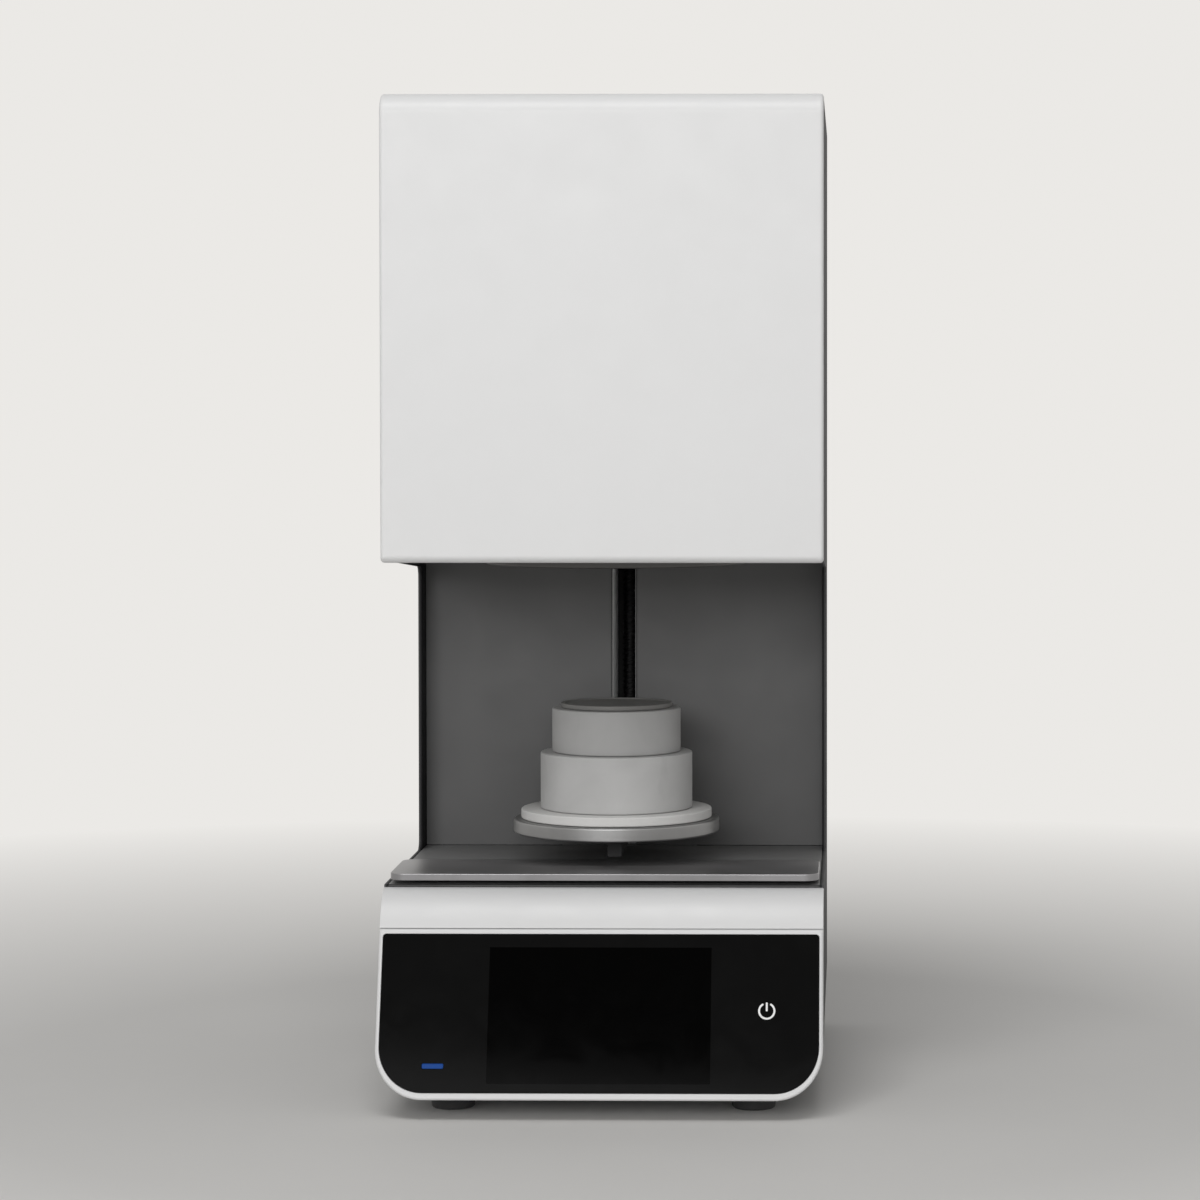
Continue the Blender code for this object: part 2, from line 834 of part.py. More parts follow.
def base_brow():
    """White moulding that rolls from the deck down to the glass frame, hollow behind."""
    low = brow_seam_height + seam
    outline = brow_curve() + [(front_line(low, moulding_depth), low)]
    brow = new_piece("base_brow", prism(outline, "X", -half_width, half_width), white_paint)
    soften(brow, moulding_edge)
    corners = [
        (front_line(low, moulding_wall), low + moulding_wall),
        (front_line(low, moulding_depth) + overrun, low + moulding_wall),
        (front_line(brow_top, moulding_depth) + overrun, brow_top - moulding_wall),
        (front_line(brow_top, moulding_depth), brow_top - moulding_wall),
    ]
    reach = half_width - moulding_wall
    cut(brow, prism(corners, "X", -reach, reach), "hollow")


def frame_outline(inset, top):
    """Give the glass frame's outline in the front view, inset from the cabinet's own."""
    reach = half_width - inset
    low = floor_clearance + inset
    lower = base_corner - inset
    return [(-reach, low, lower), (reach, low, lower), (reach, top, 0), (-reach, top, 0)]


def base_bezel():
    """White leaning frame with a pocket for the glass and a hollow back."""
    outline = rounded(frame_outline(0, brow_seam_height), wide_corner_steps)
    bezel = new_piece("base_bezel", leaning_prism(outline, 0, moulding_depth), white_paint)
    soften(bezel, moulding_edge)
    pocket = rounded(glass_corners(-seam), wide_corner_steps)
    cut(bezel, leaning_prism(pocket, -overrun, glass_thickness + seam), "pocket")
    window = rounded(glass_corners(glass_shelf), wide_corner_steps)
    cut(bezel, leaning_prism(window, -overrun, moulding_depth + overrun), "window")
    hollow = rounded(frame_outline(moulding_wall, brow_seam_height - moulding_wall), wide_corner_steps)
    shelf_rear = glass_thickness + seam + glass_shelf_thickness
    cut(bezel, leaning_prism(hollow, shelf_rear, moulding_depth + overrun), "hollow")


def glass_corners(inset):
    """Give the glass's outline corners in the front view, inset from its edge."""
    reach = half_width - glass_margin - inset
    low = glass_bottom + inset
    top = glass_top - inset
    lower = base_corner - glass_margin - inset
    upper = max(glass_top_corner - inset, 0)
    return [(-reach, low, lower), (reach, low, lower), (reach, top, upper), (-reach, top, upper)]


def front_glass():
    """Black glass with an opening for the status light."""
    glass = new_piece(
        "front_glass",
        leaning_prism(rounded(glass_corners(0), wide_corner_steps), 0, glass_thickness),
        black_glass,
    )
    cut(glass, leaning_prism(status_outline(seam), -overrun, glass_thickness + overrun), "status")


def status_outline(margin):
    """Give the status light's outline in the front view, with a margin round it."""
    reach = status_length / 2 + margin
    rise = status_width / 2 + margin
    return rectangle(-status_place - reach, -status_place + reach, status_height - rise, status_height + rise)


def status_light():
    """Light guide of the status bar, held behind the glass by its flange."""
    light = new_piece("status_light", leaning_prism(status_outline(0), 0, status_depth), blue_light)
    rear = glass_thickness + seam
    flange = leaning_prism(status_outline(status_flange), rear, rear + status_flange_thickness)
    join(light, flange, "flange")


def display_module():
    """Screen unit bonded behind the middle of the glass."""
    reach = display_width / 2
    rise = display_height / 2
    outline = rectangle(-reach, reach, display_centre_height - rise, display_centre_height + rise)
    front = glass_thickness + seam
    new_piece("display_module", leaning_prism(outline, front, front + display_thickness), black_plastic)


def power_key_pad():
    """Touch pad behind the power symbol."""
    outline = circle(power_key_place, power_key_height, power_key_radius, small_steps)
    front = glass_thickness + seam
    new_piece("power_key_pad", leaning_prism(outline, front, front + power_key_thickness), green_board)


def control_board():
    """Circuit board on posts behind the screen."""
    screen_rear = glass_thickness + seam + display_thickness + seam
    front = screen_rear + board_standoff
    reach = board_width / 2
    rise = board_height / 2
    middle = display_centre_height
    outline = rectangle(-reach, reach, middle - rise, middle + rise)
    board = new_piece("control_board", leaning_prism(outline, front, front + board_thickness), green_board)
    posts = bmesh.new()
    for side in (-1, 1):
        for level in (-1, 1):
            x = side * (reach - board_post_margin)
            z = middle + level * (rise - board_post_margin)
            post = circle(x, z, board_post_radius, small_steps)
            add_shape(posts, leaning_prism(post, screen_rear, front + board_thickness / 2))
    join(board, posts, "posts")
    chips = bmesh.new()
    for across, up, wide, tall in board_chips_share:
        x = board_width * across
        z = middle + board_height * up
        chip_reach = board_width * wide / 2
        chip_rise = board_height * tall / 2
        chip = rectangle(x - chip_reach, x + chip_reach, z - chip_rise, z + chip_rise)
        rear = front + board_thickness + board_chip_height
        add_shape(chips, leaning_prism(chip, front + board_thickness / 2, rear))
    join(board, chips, "chips")


def tray():
    """Polished folded sheet on four pads, loose on the deck's front."""
    low = deck_height + tray_lift
    high = low + tray_height
    front = -tray_front_reach
    rear = front + tray_depth
    reach = half_width - tray_side_gap
    outline = rectangle(-reach, reach, front, rear, tray_corner, wide_corner_steps)
    plate = new_piece("tray", prism(outline, "Z", low, high), polished_steel)
    soften(plate, tray_edge, 1)
    inside = rectangle(
        tray_sheet - reach,
        reach - tray_sheet,
        front + tray_sheet,
        rear - tray_sheet,
        tray_corner - tray_sheet,
        wide_corner_steps,
    )
    cut(plate, prism(inside, "Z", low - overrun, high - tray_sheet), "underside")
    pads = bmesh.new()
    for x in (tray_pad_margin - reach, reach - tray_pad_margin):
        for y in (front + tray_pad_margin, rear - tray_pad_margin):
            pad = circle(x, y, tray_pad_radius, small_steps)
            add_shape(pads, prism(pad, "Z", deck_height + seam, high - tray_sheet / 2))
    join(plate, pads, "pads")


def platform():
    """Stack of round pieces that the arm carries up into the chamber."""
    for name, radius, bottom, top, edge, finish in (
        ("platform_disc", disc_radius, disc_bottom, disc_top, disc_edge, brushed_steel),
        ("fibre_disc", fibre_radius, fibre_bottom, fibre_top, fibre_edge, white_fibre),
        ("plug_lower", plug_lower_radius, plug_lower_bottom, plug_lower_top, plug_edge, grey_ceramic),
        ("plug_upper", plug_upper_radius, plug_upper_bottom, plug_upper_top, plug_edge, grey_ceramic),
    ):
        new_piece(name, turned(disc(radius, bottom, top, edge, rim_steps), large_steps), finish)


def sample_plate():
    """Shallow dished plate that the work stands on."""
    low = plug_upper_top + seam
    high = low + plate_thickness
    rim = plate_radius - plate_thickness
    corners = [
        (0, low, 0),
        (plate_radius, low, plate_edge),
        (plate_radius, high, plate_edge),
        (rim, high, 0),
        (rim - plate_dish, high - plate_dish, 0),
        (0, high - plate_dish, 0),
    ]
    new_piece("sample_plate", turned(rounded(corners, 1), large_steps), dense_ceramic)


def lift_arm():
    """Bar from the carriage through the wall's slot, with a round head below the disc."""
    rear = carriage_front - seam
    arm = new_piece(
        "lift_arm",
        block(-arm_width / 2, arm_width / 2, -arm_front_reach, rear, arm_bottom, arm_top + seam),
        dark_paint,
    )
    soften(arm, arm_edge, 1)
    head = turned(disc(arm_head_radius, arm_top, arm_head_top, arm_edge), medium_steps)
    join(arm, head, "head")


def lift_carriage():
    """Block that slides on the two rods and holds the screw's nut."""
    reach = carriage_half_width
    rear = carriage_front + carriage_depth
    high = carriage_bottom + carriage_height
    carriage = new_piece(
        "lift_carriage",
        block(-reach, reach, carriage_front, rear, carriage_bottom, high),
        aluminium,
    )
    soften(carriage, carriage_edge)
    bores = bmesh.new()
    low = carriage_bottom - overrun
    top = high + overrun
    for side in (-1, 1):
        radius = rod_radius + seam + bushing_wall + seam
        bore = circle(side * rod_spacing / 2, lift_axis_reach, radius, small_steps)
        add_shape(bores, prism(bore, "Z", low, top))
    nut_bore = circle(0, lift_axis_reach, screw_radius + seam + nut_wall + seam, small_steps)
    add_shape(bores, prism(nut_bore, "Z", low, top))
    cut(carriage, bores, "bores")


def lift_bearings():
    """Bushings round the rods and the flanged nut round the screw."""
    high = carriage_bottom + carriage_height
    inner = rod_radius + seam
    for name, side in (("bushing_left", -1), ("bushing_right", 1)):
        profile = tube(inner, inner + bushing_wall, carriage_bottom, high)
        new_piece(name, turned(profile, small_steps, side * rod_spacing / 2, lift_axis_reach), bronze)
    bore = screw_radius + seam
    corners = [
        (bore, carriage_bottom + nut_flange_thickness),
        (bore + nut_wall, carriage_bottom + nut_flange_thickness),
        (bore + nut_wall, high + seam),
        (nut_flange_radius, high + seam),
        (nut_flange_radius, high + seam + nut_flange_thickness),
        (bore, high + seam + nut_flange_thickness),
    ]
    new_piece("lift_nut", turned(corners, small_steps, 0, lift_axis_reach), bronze)


def guide_rods():
    """Two upright rods held in sockets of the bearing plates."""
    low = lower_plate_height + bearing_plate_thickness - rod_socket_depth + seam
    high = upper_plate_height + rod_socket_depth - seam
    for name, side in (("guide_rod_left", -1), ("guide_rod_right", 1)):
        profile = disc(rod_radius, low, high, seam)
        new_piece(name, turned(profile, small_steps, side * rod_spacing / 2, lift_axis_reach), bright_steel)


def bearing_plate(name, low, socket_low, socket_high):
    """Plate that holds one end of the rods, between two heights, and of the screw."""
    reach = bearing_plate_half_width
    front = carriage_front
    rear = back_plate_front - seam
    high = low + bearing_plate_thickness
    plate = new_piece(name, block(-reach, reach, front, rear, low, high), aluminium)
    bores = prism(
        circle(0, lift_axis_reach, screw_radius + seam, small_steps),
        "Z",
        low - overrun,
        high + overrun,
    )
    for side in (-1, 1):
        socket = circle(side * rod_spacing / 2, lift_axis_reach, rod_radius + seam, small_steps)
        add_shape(bores, prism(socket, "Z", socket_low, socket_high))
    cut(plate, bores, "bores")


def lift_back_plate():
    """Upright plate against the rear panel that the bearing plates are fixed to."""
    reach = bearing_plate_half_width
    rear = back_plate_front + back_plate_thickness
    shape = block(-reach, reach, back_plate_front, rear, pan_top + seam, back_plate_top)
    new_piece("lift_back_plate", shape, black_steel)


def lead_screw():
    """Screw that turns in both bearing plates and drives the nut."""
    low = motor_top + motor_shaft_length + seam
    high = upper_plate_height + bearing_plate_thickness
    screw = new_piece(
        "lead_screw",
        turned(disc(screw_radius, low, high, seam), small_steps, 0, lift_axis_reach),
        black_steel,
    )
    move_origin(screw, (0, lift_axis_reach, 0))


def screw_coupling():
    """Clamp coupling between the motor's shaft and the screw."""
    middle = motor_top + motor_shaft_length
    low = middle - coupling_height / 2
    high = middle + coupling_height / 2
    corners = [
        (motor_shaft_radius + seam, low, 0),
        (coupling_radius, low, coupling_edge),
        (coupling_radius, high, coupling_edge),
        (screw_radius + seam, high, 0),
        (screw_radius + seam, middle, 0),
        (motor_shaft_radius + seam, middle, 0),
    ]
    shape = turned(rounded(corners, 1), small_steps, 0, lift_axis_reach)
    move_origin(new_piece("screw_coupling", shape, aluminium), (0, lift_axis_reach, 0))


def lift_motor():
    """Square stepper motor that hangs below its bracket."""
    reach = motor_size / 2
    front = lift_axis_reach - reach
    rear = lift_axis_reach + reach
    outline = rectangle(-reach, reach, front, rear, motor_corner)
    body = prism(outline, "Z", motor_top - motor_length, motor_top)
    motor = new_piece("lift_motor", body, black_plastic)
    pilot = circle(0, lift_axis_reach, motor_pilot_radius, small_steps)
    join(motor, prism(pilot, "Z", motor_top - overrun, motor_top + motor_pilot_height), "pilot")
    bore = circle(0, lift_axis_reach, motor_shaft_radius + seam, small_steps)
    cut(motor, prism(bore, "Z", motor_top - motor_bore_depth, motor_top + overrun), "bore")


def motor_shaft():
    """Shaft that turns in the motor's bore."""
    low = motor_top - motor_bore_depth + seam
    high = motor_top + motor_shaft_length - seam
    shape = turned(disc(motor_shaft_radius, low, high, seam), small_steps, 0, lift_axis_reach)
    move_origin(new_piece("motor_shaft", shape, bright_steel), (0, lift_axis_reach, 0))


def motor_bracket():
    """Folded bracket that holds the motor below the lower bearing plate."""
    reach = motor_size / 2 + bracket_thickness
    low = motor_top + seam
    high = lower_plate_height - seam
    front = lift_axis_reach - motor_size / 2
    rear = back_plate_front - seam
    outline = [
        (-reach, low),
        (reach, low),
        (reach, high),
        (reach - bracket_thickness, high),
        (reach - bracket_thickness, low + bracket_thickness),
        (bracket_thickness - reach, low + bracket_thickness),
        (bracket_thickness - reach, high),
        (-reach, high),
    ]
    bracket = new_piece("motor_bracket", prism(outline, "Y", front, rear), zinc_steel)
    bore = circle(0, lift_axis_reach, motor_pilot_radius + seam, small_steps)
    cut(bracket, prism(bore, "Z", low - overrun, low + bracket_thickness + overrun), "bore")


def chamber_pan():
    """Floor of the upper housing, open round the throat and folded up at its rear."""
    front = hem_radius - front_reach
    top = chamber_pan_top
    outline = [
        (front, chamber_pan_bottom),
        (chamber_pan_rear, chamber_pan_bottom),
        (chamber_pan_rear, top + chamber_pan_flange),
        (chamber_pan_rear - chamber_pan_sheet, top + chamber_pan_flange),
        (chamber_pan_rear - chamber_pan_sheet, top),
        (front, top),
    ]
    pan = new_piece("chamber_pan", prism(outline, "X", -inner_half_width, inner_half_width), dark_paint)
    opening = circle(0, 0, throat_boss_radius + seam, large_steps)
    cut(pan, prism(opening, "Z", chamber_pan_bottom - overrun, top + overrun), "throat")


def throat_ring():
    """Rounded steel ring below the housing that the platform's disc rises to."""
    low = ceiling_height - ring_drop
    high = chamber_pan_bottom - seam
    corners = [
        (ring_inner_radius, low, ring_edge),
        (ring_outer_radius, low, ring_edge),
        (ring_outer_radius, high, 0),
        (ring_inner_radius, high, 0),
    ]
    new_piece("throat_ring", turned(rounded(corners, rim_steps), large_steps), heat_steel)


def throat_insulation():
    """Lower insulating board, with the round throat and a boss through the pan."""
    reach = block_half_width
    outline = rectangle(-reach, reach, -reach, reach)
    board = new_piece("throat_insulation", prism(outline, "Z", throat_bottom, throat_top), white_fibre)
    boss = circle(0, 0, throat_boss_radius, large_steps)
    join(board, prism(boss, "Z", throat_bottom - throat_boss_drop, throat_bottom + overrun), "boss")
    throat = circle(0, 0, throat_radius, large_steps)
    cut(board, prism(throat, "Z", throat_bottom - throat_boss_drop - overrun, throat_top + overrun), "throat")


def wall_insulation():
    """Insulating block round the firing chamber."""
    reach = block_half_width
    outline = rectangle(-reach, reach, -reach, reach)
    wall = new_piece("wall_insulation", prism(outline, "Z", wall_bottom, wall_top), white_fibre)
    chamber = circle(0, 0, chamber_radius, large_steps)
    cut(wall, prism(chamber, "Z", wall_bottom - overrun, wall_top + overrun), "chamber")


def heater_places():
    """Give the places of the heating rods round the chamber."""
    places = []
    for index in range(heater_count):
        angle = math.tau * (index + 1 / 2) / heater_count
        places.append((heater_circle_radius * math.cos(angle), heater_circle_radius * math.sin(angle)))
    return places


def rod_holes(low, high, clearance):
    """Make the cutters for the heating rods and the thermocouple."""
    holes = bmesh.new()
    for x, y in heater_places():
        add_shape(holes, prism(circle(x, y, heater_radius + clearance, small_steps), "Z", low, high))
    y = heater_circle_radius * thermocouple_place_share
    probe = circle(0, y, thermocouple_radius + clearance, small_steps)
    add_shape(holes, prism(probe, "Z", low, high))
    return holes


def roof_insulation():
    """Insulating board above the chamber, bored for the rods that hang through it."""
    reach = block_half_width
    outline = rectangle(-reach, reach, -reach, reach)
    roof = new_piece("roof_insulation", prism(outline, "Z", roof_bottom, roof_top), white_fibre)
    cut(roof, rod_holes(roof_bottom - overrun, roof_top + overrun, heater_hole_clearance), "rods")


def chamber_casing():
    """Steel box round the insulation, open below."""
    reach = casing_half_width
    casing = new_piece(
        "chamber_casing",
        block(-reach, reach, -reach, reach, throat_bottom, casing_top),
        zinc_steel,
    )
    inside = casing_inside
    cut(
        casing,
        block(-inside, inside, -inside, inside, throat_bottom - overrun, casing_top - casing_sheet),
        "inside",
    )
    cut(casing, rod_holes(casing_top - overrun, casing_top + overrun, heater_hole_clearance), "rods")


def terminal_plate():
    """Ceramic plate on the casing that the rods' collars rest on."""
    reach = terminal_plate_reach
    plate = new_piece(
        "terminal_plate",
        block(-reach, reach, -reach, reach, terminal_plate_bottom, terminal_plate_top),
        dense_ceramic,
    )
    cut(plate, rod_holes(terminal_plate_bottom - overrun, terminal_plate_top + overrun, seam), "rods")


def heating_rods():
    """Silicon carbide rods that hang round the chamber from their collars."""
    low = wall_top - heater_hang
    seat = terminal_plate_top + seam
    for index, (x, y) in enumerate(heater_places()):
        corners = [
            (0, low, 0),
            (heater_radius, low, heater_edge),
            (heater_radius, seat, 0),
            (heater_collar_radius, seat, 0),
            (heater_collar_radius, seat + heater_collar_height, heater_edge),
            (heater_radius, seat + heater_collar_height, 0),
            (heater_radius, seat + heater_tail, heater_edge),
            (0, seat + heater_tail, 0),
        ]
        name = "heating_rod_" + str(index + 1)
        new_piece(name, turned(rounded(corners, 1), small_steps, x, y), silicon_carbide)


def thermocouple():
    """Sheathed probe through the roof, with its head on the ceramic plate."""
    low = roof_bottom - thermocouple_hang
    seat = terminal_plate_top + seam
    corners = [
        (0, low, 0),
        (thermocouple_radius, low, heater_edge),
        (thermocouple_radius, seat, 0),
        (thermocouple_head_radius, seat, 0),
        (thermocouple_head_radius, seat + thermocouple_head_height, heater_edge),
        (0, seat + thermocouple_head_height, 0),
    ]
    y = heater_circle_radius * thermocouple_place_share
    new_piece("thermocouple", turned(rounded(corners, 1), small_steps, 0, y), dense_ceramic)


def radial_bar(angle, inner, outer, width, front, rear):
    """Make a bar that points out from the fan's axis."""
    shape = block(inner, outer, front, rear, -width / 2, width / 2)
    for vertex in shape.verts:
        x = vertex.co.x
        z = vertex.co.z
        vertex.co.x = x * math.cos(angle) - z * math.sin(angle)
        vertex.co.z = fan_height + x * math.sin(angle) + z * math.cos(angle)
    return shape


def ring_about_fan(inner, outer, front, rear, steps):
    """Make a flat ring round the fan's axis."""
    shape = bmesh.new()
    loops = []
    for radius, level in ((inner, front), (outer, front), (outer, rear), (inner, rear)):
        points = circle(0, fan_height, radius, steps)
        loops.append([shape.verts.new((a, level, b)) for a, b in points])
    for index, loop in enumerate(loops):
        other = loops[index - 1]
        for step in range(steps):
            shape.faces.new((other[step - 1], other[step], loop[step], loop[step - 1]))
    bmesh.ops.recalc_face_normals(shape, faces=shape.faces)
    return shape


def fan_frame():
    """Square frame of the rear fan, with struts to the boss that carries the rotor."""
    reach = fan_size / 2
    outline = rectangle(-reach, reach, fan_height - reach, fan_height + reach, fan_corner)
    frame = new_piece("fan_frame", prism(outline, "Y", fan_front, fan_rear), black_plastic)
    bore = circle(0, fan_height, fan_bore_radius, medium_steps)
    cut(frame, prism(bore, "Y", fan_front - overrun, fan_rear + overrun), "bore")
    boss = circle(0, fan_height, fan_hub_radius, small_steps)
    middle = prism(boss, "Y", fan_front, fan_front + fan_strut_depth)
    join(frame, middle, "boss")
    for index in range(fan_strut_count):
        angle = math.tau * index / fan_strut_count
        outer = (fan_bore_radius + fan_size / 2) / 2
        inner = fan_hub_radius / 2
        rear = fan_front + fan_strut_depth
        strut = radial_bar(angle, inner, outer, fan_strut_width, fan_front + seam, rear - seam)
        join(frame, strut, "strut_" + str(index + 1))
    axle = circle(0, fan_height, fan_axle_radius, small_steps)
    axle_rear = fan_front + fan_strut_depth + fan_hub_depth
    join(frame, prism(axle, "Y", fan_front + seam, axle_rear), "axle")


def fan_rotor():
    """Hub and pitched blades that turn on the frame's axle."""
    front = fan_front + fan_strut_depth + seam
    rear = front + fan_hub_depth
    hub = circle(0, fan_height, fan_hub_radius, small_steps)
    rotor = new_piece("fan_rotor", prism(hub, "Y", front, rear), black_plastic)
    reach = fan_bore_radius - fan_blade_clearance
    middle = (front + rear) / 2
    chord = fan_hub_depth / math.sin(fan_blade_pitch) * fan_blade_share
    for index in range(fan_blade_count):
        angle = math.tau * index / fan_blade_count
        blade = block(
            fan_hub_radius / 2,
            reach,
            middle - chord / 2,
            middle + chord / 2,
            -fan_blade_thickness / 2,
            fan_blade_thickness / 2,
        )
        for vertex in blade.verts:
            lift = vertex.co.y - middle
            drop = vertex.co.z
            vertex.co.y = middle + lift * math.sin(fan_blade_pitch) - drop * math.cos(fan_blade_pitch)
            z = lift * math.cos(fan_blade_pitch) + drop * math.sin(fan_blade_pitch)
            x = vertex.co.x
            vertex.co.x = x * math.cos(angle) - z * math.sin(angle)
            vertex.co.z = fan_height + x * math.sin(angle) + z * math.cos(angle)
        join(rotor, blade, "blade_" + str(index + 1))
    bore = circle(0, fan_height, fan_axle_radius + seam, small_steps)
    cut(rotor, prism(bore, "Y", front - overrun, rear + overrun), "bore")
    move_origin(rotor, (0, middle, fan_height))


def fan_guard():
    """Ringed finger guard over the fan's opening."""
    front = rear_outside + seam
    rear = front + guard_wire
    radius = fan_bore_radius + guard_wire
    outer = ring_about_fan(radius - guard_wire, radius, front, rear, medium_steps)
    guard = new_piece("fan_guard", outer, bright_steel)
    for index in range(1, guard_ring_count):
        ring = radius - guard_ring_gap * index
        shape = ring_about_fan(ring - guard_wire, ring, front, rear, medium_steps)
        join(guard, shape, "ring_" + str(index))
    inner = radius - guard_ring_gap * (guard_ring_count - 1) - guard_wire
    for index in range(guard_spoke_count):
        angle = math.tau * (index + 1 / 2) / guard_spoke_count
        spoke = radial_bar(angle, inner, radius + guard_wire, guard_wire, front, rear)
        join(guard, spoke, "spoke_" + str(index + 1))


def mains_body(name, width, height, depth, centre, margin, flange):
    """Make the housing of a mains fitting, with the flange that covers its opening."""
    reach = width / 2
    rise = height / 2
    outline = rectangle(mains_place - reach, mains_place + reach, centre - rise, centre + rise)
    front = rear_outside - depth
    body = new_piece(name, prism(outline, "Y", front, rear_outside + seam), black_plastic)
    cover = rectangle(
        mains_place - reach - margin,
        mains_place + reach + margin,
        centre - rise - mains_flange_rise,
        centre + rise + mains_flange_rise,
        mains_flange_rise,
    )
    join(body, prism(cover, "Y", rear_outside + seam, rear_outside + seam + flange), "flange")
    return body


def power_inlet():
    """Mains inlet with its socket and three flat pins."""
    body = mains_body(
        "power_inlet",
        inlet_width,
        inlet_height,
        inlet_depth,
        inlet_centre_height,
        inlet_flange_margin,
        inlet_flange_thickness,
    )
    outside = rear_outside + seam + inlet_flange_thickness
    reach = inlet_width / 2 - inlet_socket_wall
    rise = inlet_height / 2 - inlet_socket_wall
    socket = rectangle(
        mains_place - reach,
        mains_place + reach,
        inlet_centre_height - rise,
        inlet_centre_height + rise,
        inlet_socket_wall,
    )
    floor = outside - inlet_socket_depth
    cut(body, prism(socket, "Y", floor, outside + overrun), "socket")
    pins = bmesh.new()
    for index in (-1, 0, 1):
        x = mains_place + inlet_pin_spacing * index
        z = inlet_centre_height + inlet_pin_thickness * (1 - abs(index)) - inlet_pin_thickness / 2
        pin = rectangle(
            x - inlet_pin_thickness / 2,
            x + inlet_pin_thickness / 2,
            z - inlet_pin_width / 2,
            z + inlet_pin_width / 2,
        )
        add_shape(pins, prism(pin, "Y", floor - inlet_socket_wall, outside - inlet_pin_recess))
    join(body, pins, "pins")


def main_switch():
    """Mains switch housing, open to the rear for its rocker."""
    body = mains_body(
        "main_switch",
        switch_width,
        switch_height,
        switch_depth,
        switch_centre_height,
        switch_flange_margin,
        switch_flange_thickness,
    )
    reach = switch_width / 2 - switch_wall
    rise = switch_height / 2 - switch_wall
    outside = rear_outside + seam + switch_flange_thickness
    pocket = rectangle(
        mains_place - reach,
        mains_place + reach,
        switch_centre_height - rise,
        switch_centre_height + rise,
    )
    floor = rear_outside - switch_depth + switch_wall
    cut(body, prism(pocket, "Y", floor, outside + overrun), "pocket")
    bore = circle(outside - rocker_axle_depth, switch_centre_height, rocker_axle_radius + seam, small_steps)
    bore_reach = switch_width / 2 - switch_wall / 2 + seam
    cut(body, prism(bore, "X", mains_place - bore_reach, mains_place + bore_reach), "axle")


def switch_rocker():
    """Rocker of the mains switch, tipped to its off side, on its own axle."""
    pivot = rear_outside + seam + switch_flange_thickness - rocker_axle_depth
    rise = switch_height / 2 - switch_wall - rocker_rise / 2
    corners = (
        (-rocker_body, -rise),
        (rocker_rise, -rise),
        (rocker_dip, 0),
        (rocker_rise, rise),
        (-rocker_body, rise),
    )
    outline = []
    for out, up in corners:
        y = pivot + out * math.cos(rocker_tilt) + up * math.sin(rocker_tilt)
        z = switch_centre_height + up * math.cos(rocker_tilt) - out * math.sin(rocker_tilt)
        outline.append((y, z))
    reach = switch_width / 2 - switch_wall - seam
    body = prism(outline, "X", mains_place - reach, mains_place + reach)
    rocker = new_piece("switch_rocker", body, black_plastic)
    axle = circle(pivot, switch_centre_height, rocker_axle_radius, small_steps)
    axle_reach = switch_width / 2 - switch_wall / 2
    join(rocker, prism(axle, "X", mains_place - axle_reach, mains_place + axle_reach), "axle")
    move_origin(rocker, (mains_place, pivot, switch_centre_height))


def power_supply():
    """Vented supply unit on the bottom pan."""
    reach = supply_width / 2
    low = pan_top + seam
    high = low + supply_height
    front = supply_centre_reach - supply_depth / 2
    rear = front + supply_depth
    middle = -supply_side_place
    unit = new_piece("power_supply", block(middle - reach, middle + reach, front, rear, low, high), aluminium)
    soften(unit, supply_edge, 1)
    slots = bmesh.new()
    pitch = supply_depth / (supply_vent_count + 1)
    for index in range(supply_vent_count):
        y = front + pitch * (index + 1)
        slot_reach = reach * supply_vent_share
        slot = rectangle(
            middle - slot_reach,
            middle + slot_reach,
            y - supply_vent_width / 2,
            y + supply_vent_width / 2,
        )
        add_shape(slots, prism(slot, "Z", high - supply_edge * 2, high + overrun))
    cut(unit, slots, "vents")


def heater_relay():
    """Heating control relay as a finned block on the bottom pan."""
    low = pan_top + seam
    front = relay_centre_reach - relay_depth / 2
    left = relay_side_place - relay_width / 2
    pitch = (relay_width - relay_fin_thickness) / (relay_fin_count - 1)
    outline = [(left, low), (left + relay_width, low)]
    for index in reversed(range(relay_fin_count)):
        fin = left + pitch * index
        outline.append((fin + relay_fin_thickness, low + relay_base))
        outline.append((fin + relay_fin_thickness, low + relay_base + relay_fin_height))
        outline.append((fin, low + relay_base + relay_fin_height))
        outline.append((fin, low + relay_base))
    outline = outline[:2] + outline[3:-1]
    new_piece("heater_relay", prism(outline, "Y", front, front + relay_depth), aluminium)


def build():
    """Make the whole furnace."""
    clear_scene()
    upper_cover()
    side_panel("left_side_panel", -1)
    side_panel("right_side_panel", 1)
    rear_panel()
    bay_wall()
    slot_liner()
    base_deck()
    bottom_pan()
    side = half_width - foot_side_margin
    front = front_reach - foot_front_margin
    rear = rear_reach - foot_rear_margin
    for name, x, y in (
        ("foot_front_left", -side, -front),
        ("foot_front_right", side, -front),
        ("foot_rear_left", -side, rear),
        ("foot_rear_right", side, rear),
    ):
        foot(name, x, y)
    base_brow()
    base_bezel()
    front_glass()
    status_light()
    display_module()
    power_key_pad()
    control_board()
    tray()
    platform()
    sample_plate()
    lift_arm()
    lift_carriage()
    lift_bearings()
    guide_rods()
    low = lower_plate_height
    top = low + bearing_plate_thickness
    bearing_plate("lower_bearing_plate", low, top - rod_socket_depth, top + overrun)
    low = upper_plate_height
    bearing_plate("upper_bearing_plate", low, low - overrun, low + rod_socket_depth)
    lift_back_plate()
    lead_screw()
    screw_coupling()
    lift_motor()
    motor_shaft()
    motor_bracket()
    chamber_pan()
    throat_ring()
    throat_insulation()
    wall_insulation()
    roof_insulation()
    chamber_casing()
    terminal_plate()
    heating_rods()
    thermocouple()
    fan_frame()
    fan_rotor()
    fan_guard()
    power_inlet()
    main_switch()
    switch_rocker()
    power_supply()
    heater_relay()


build()
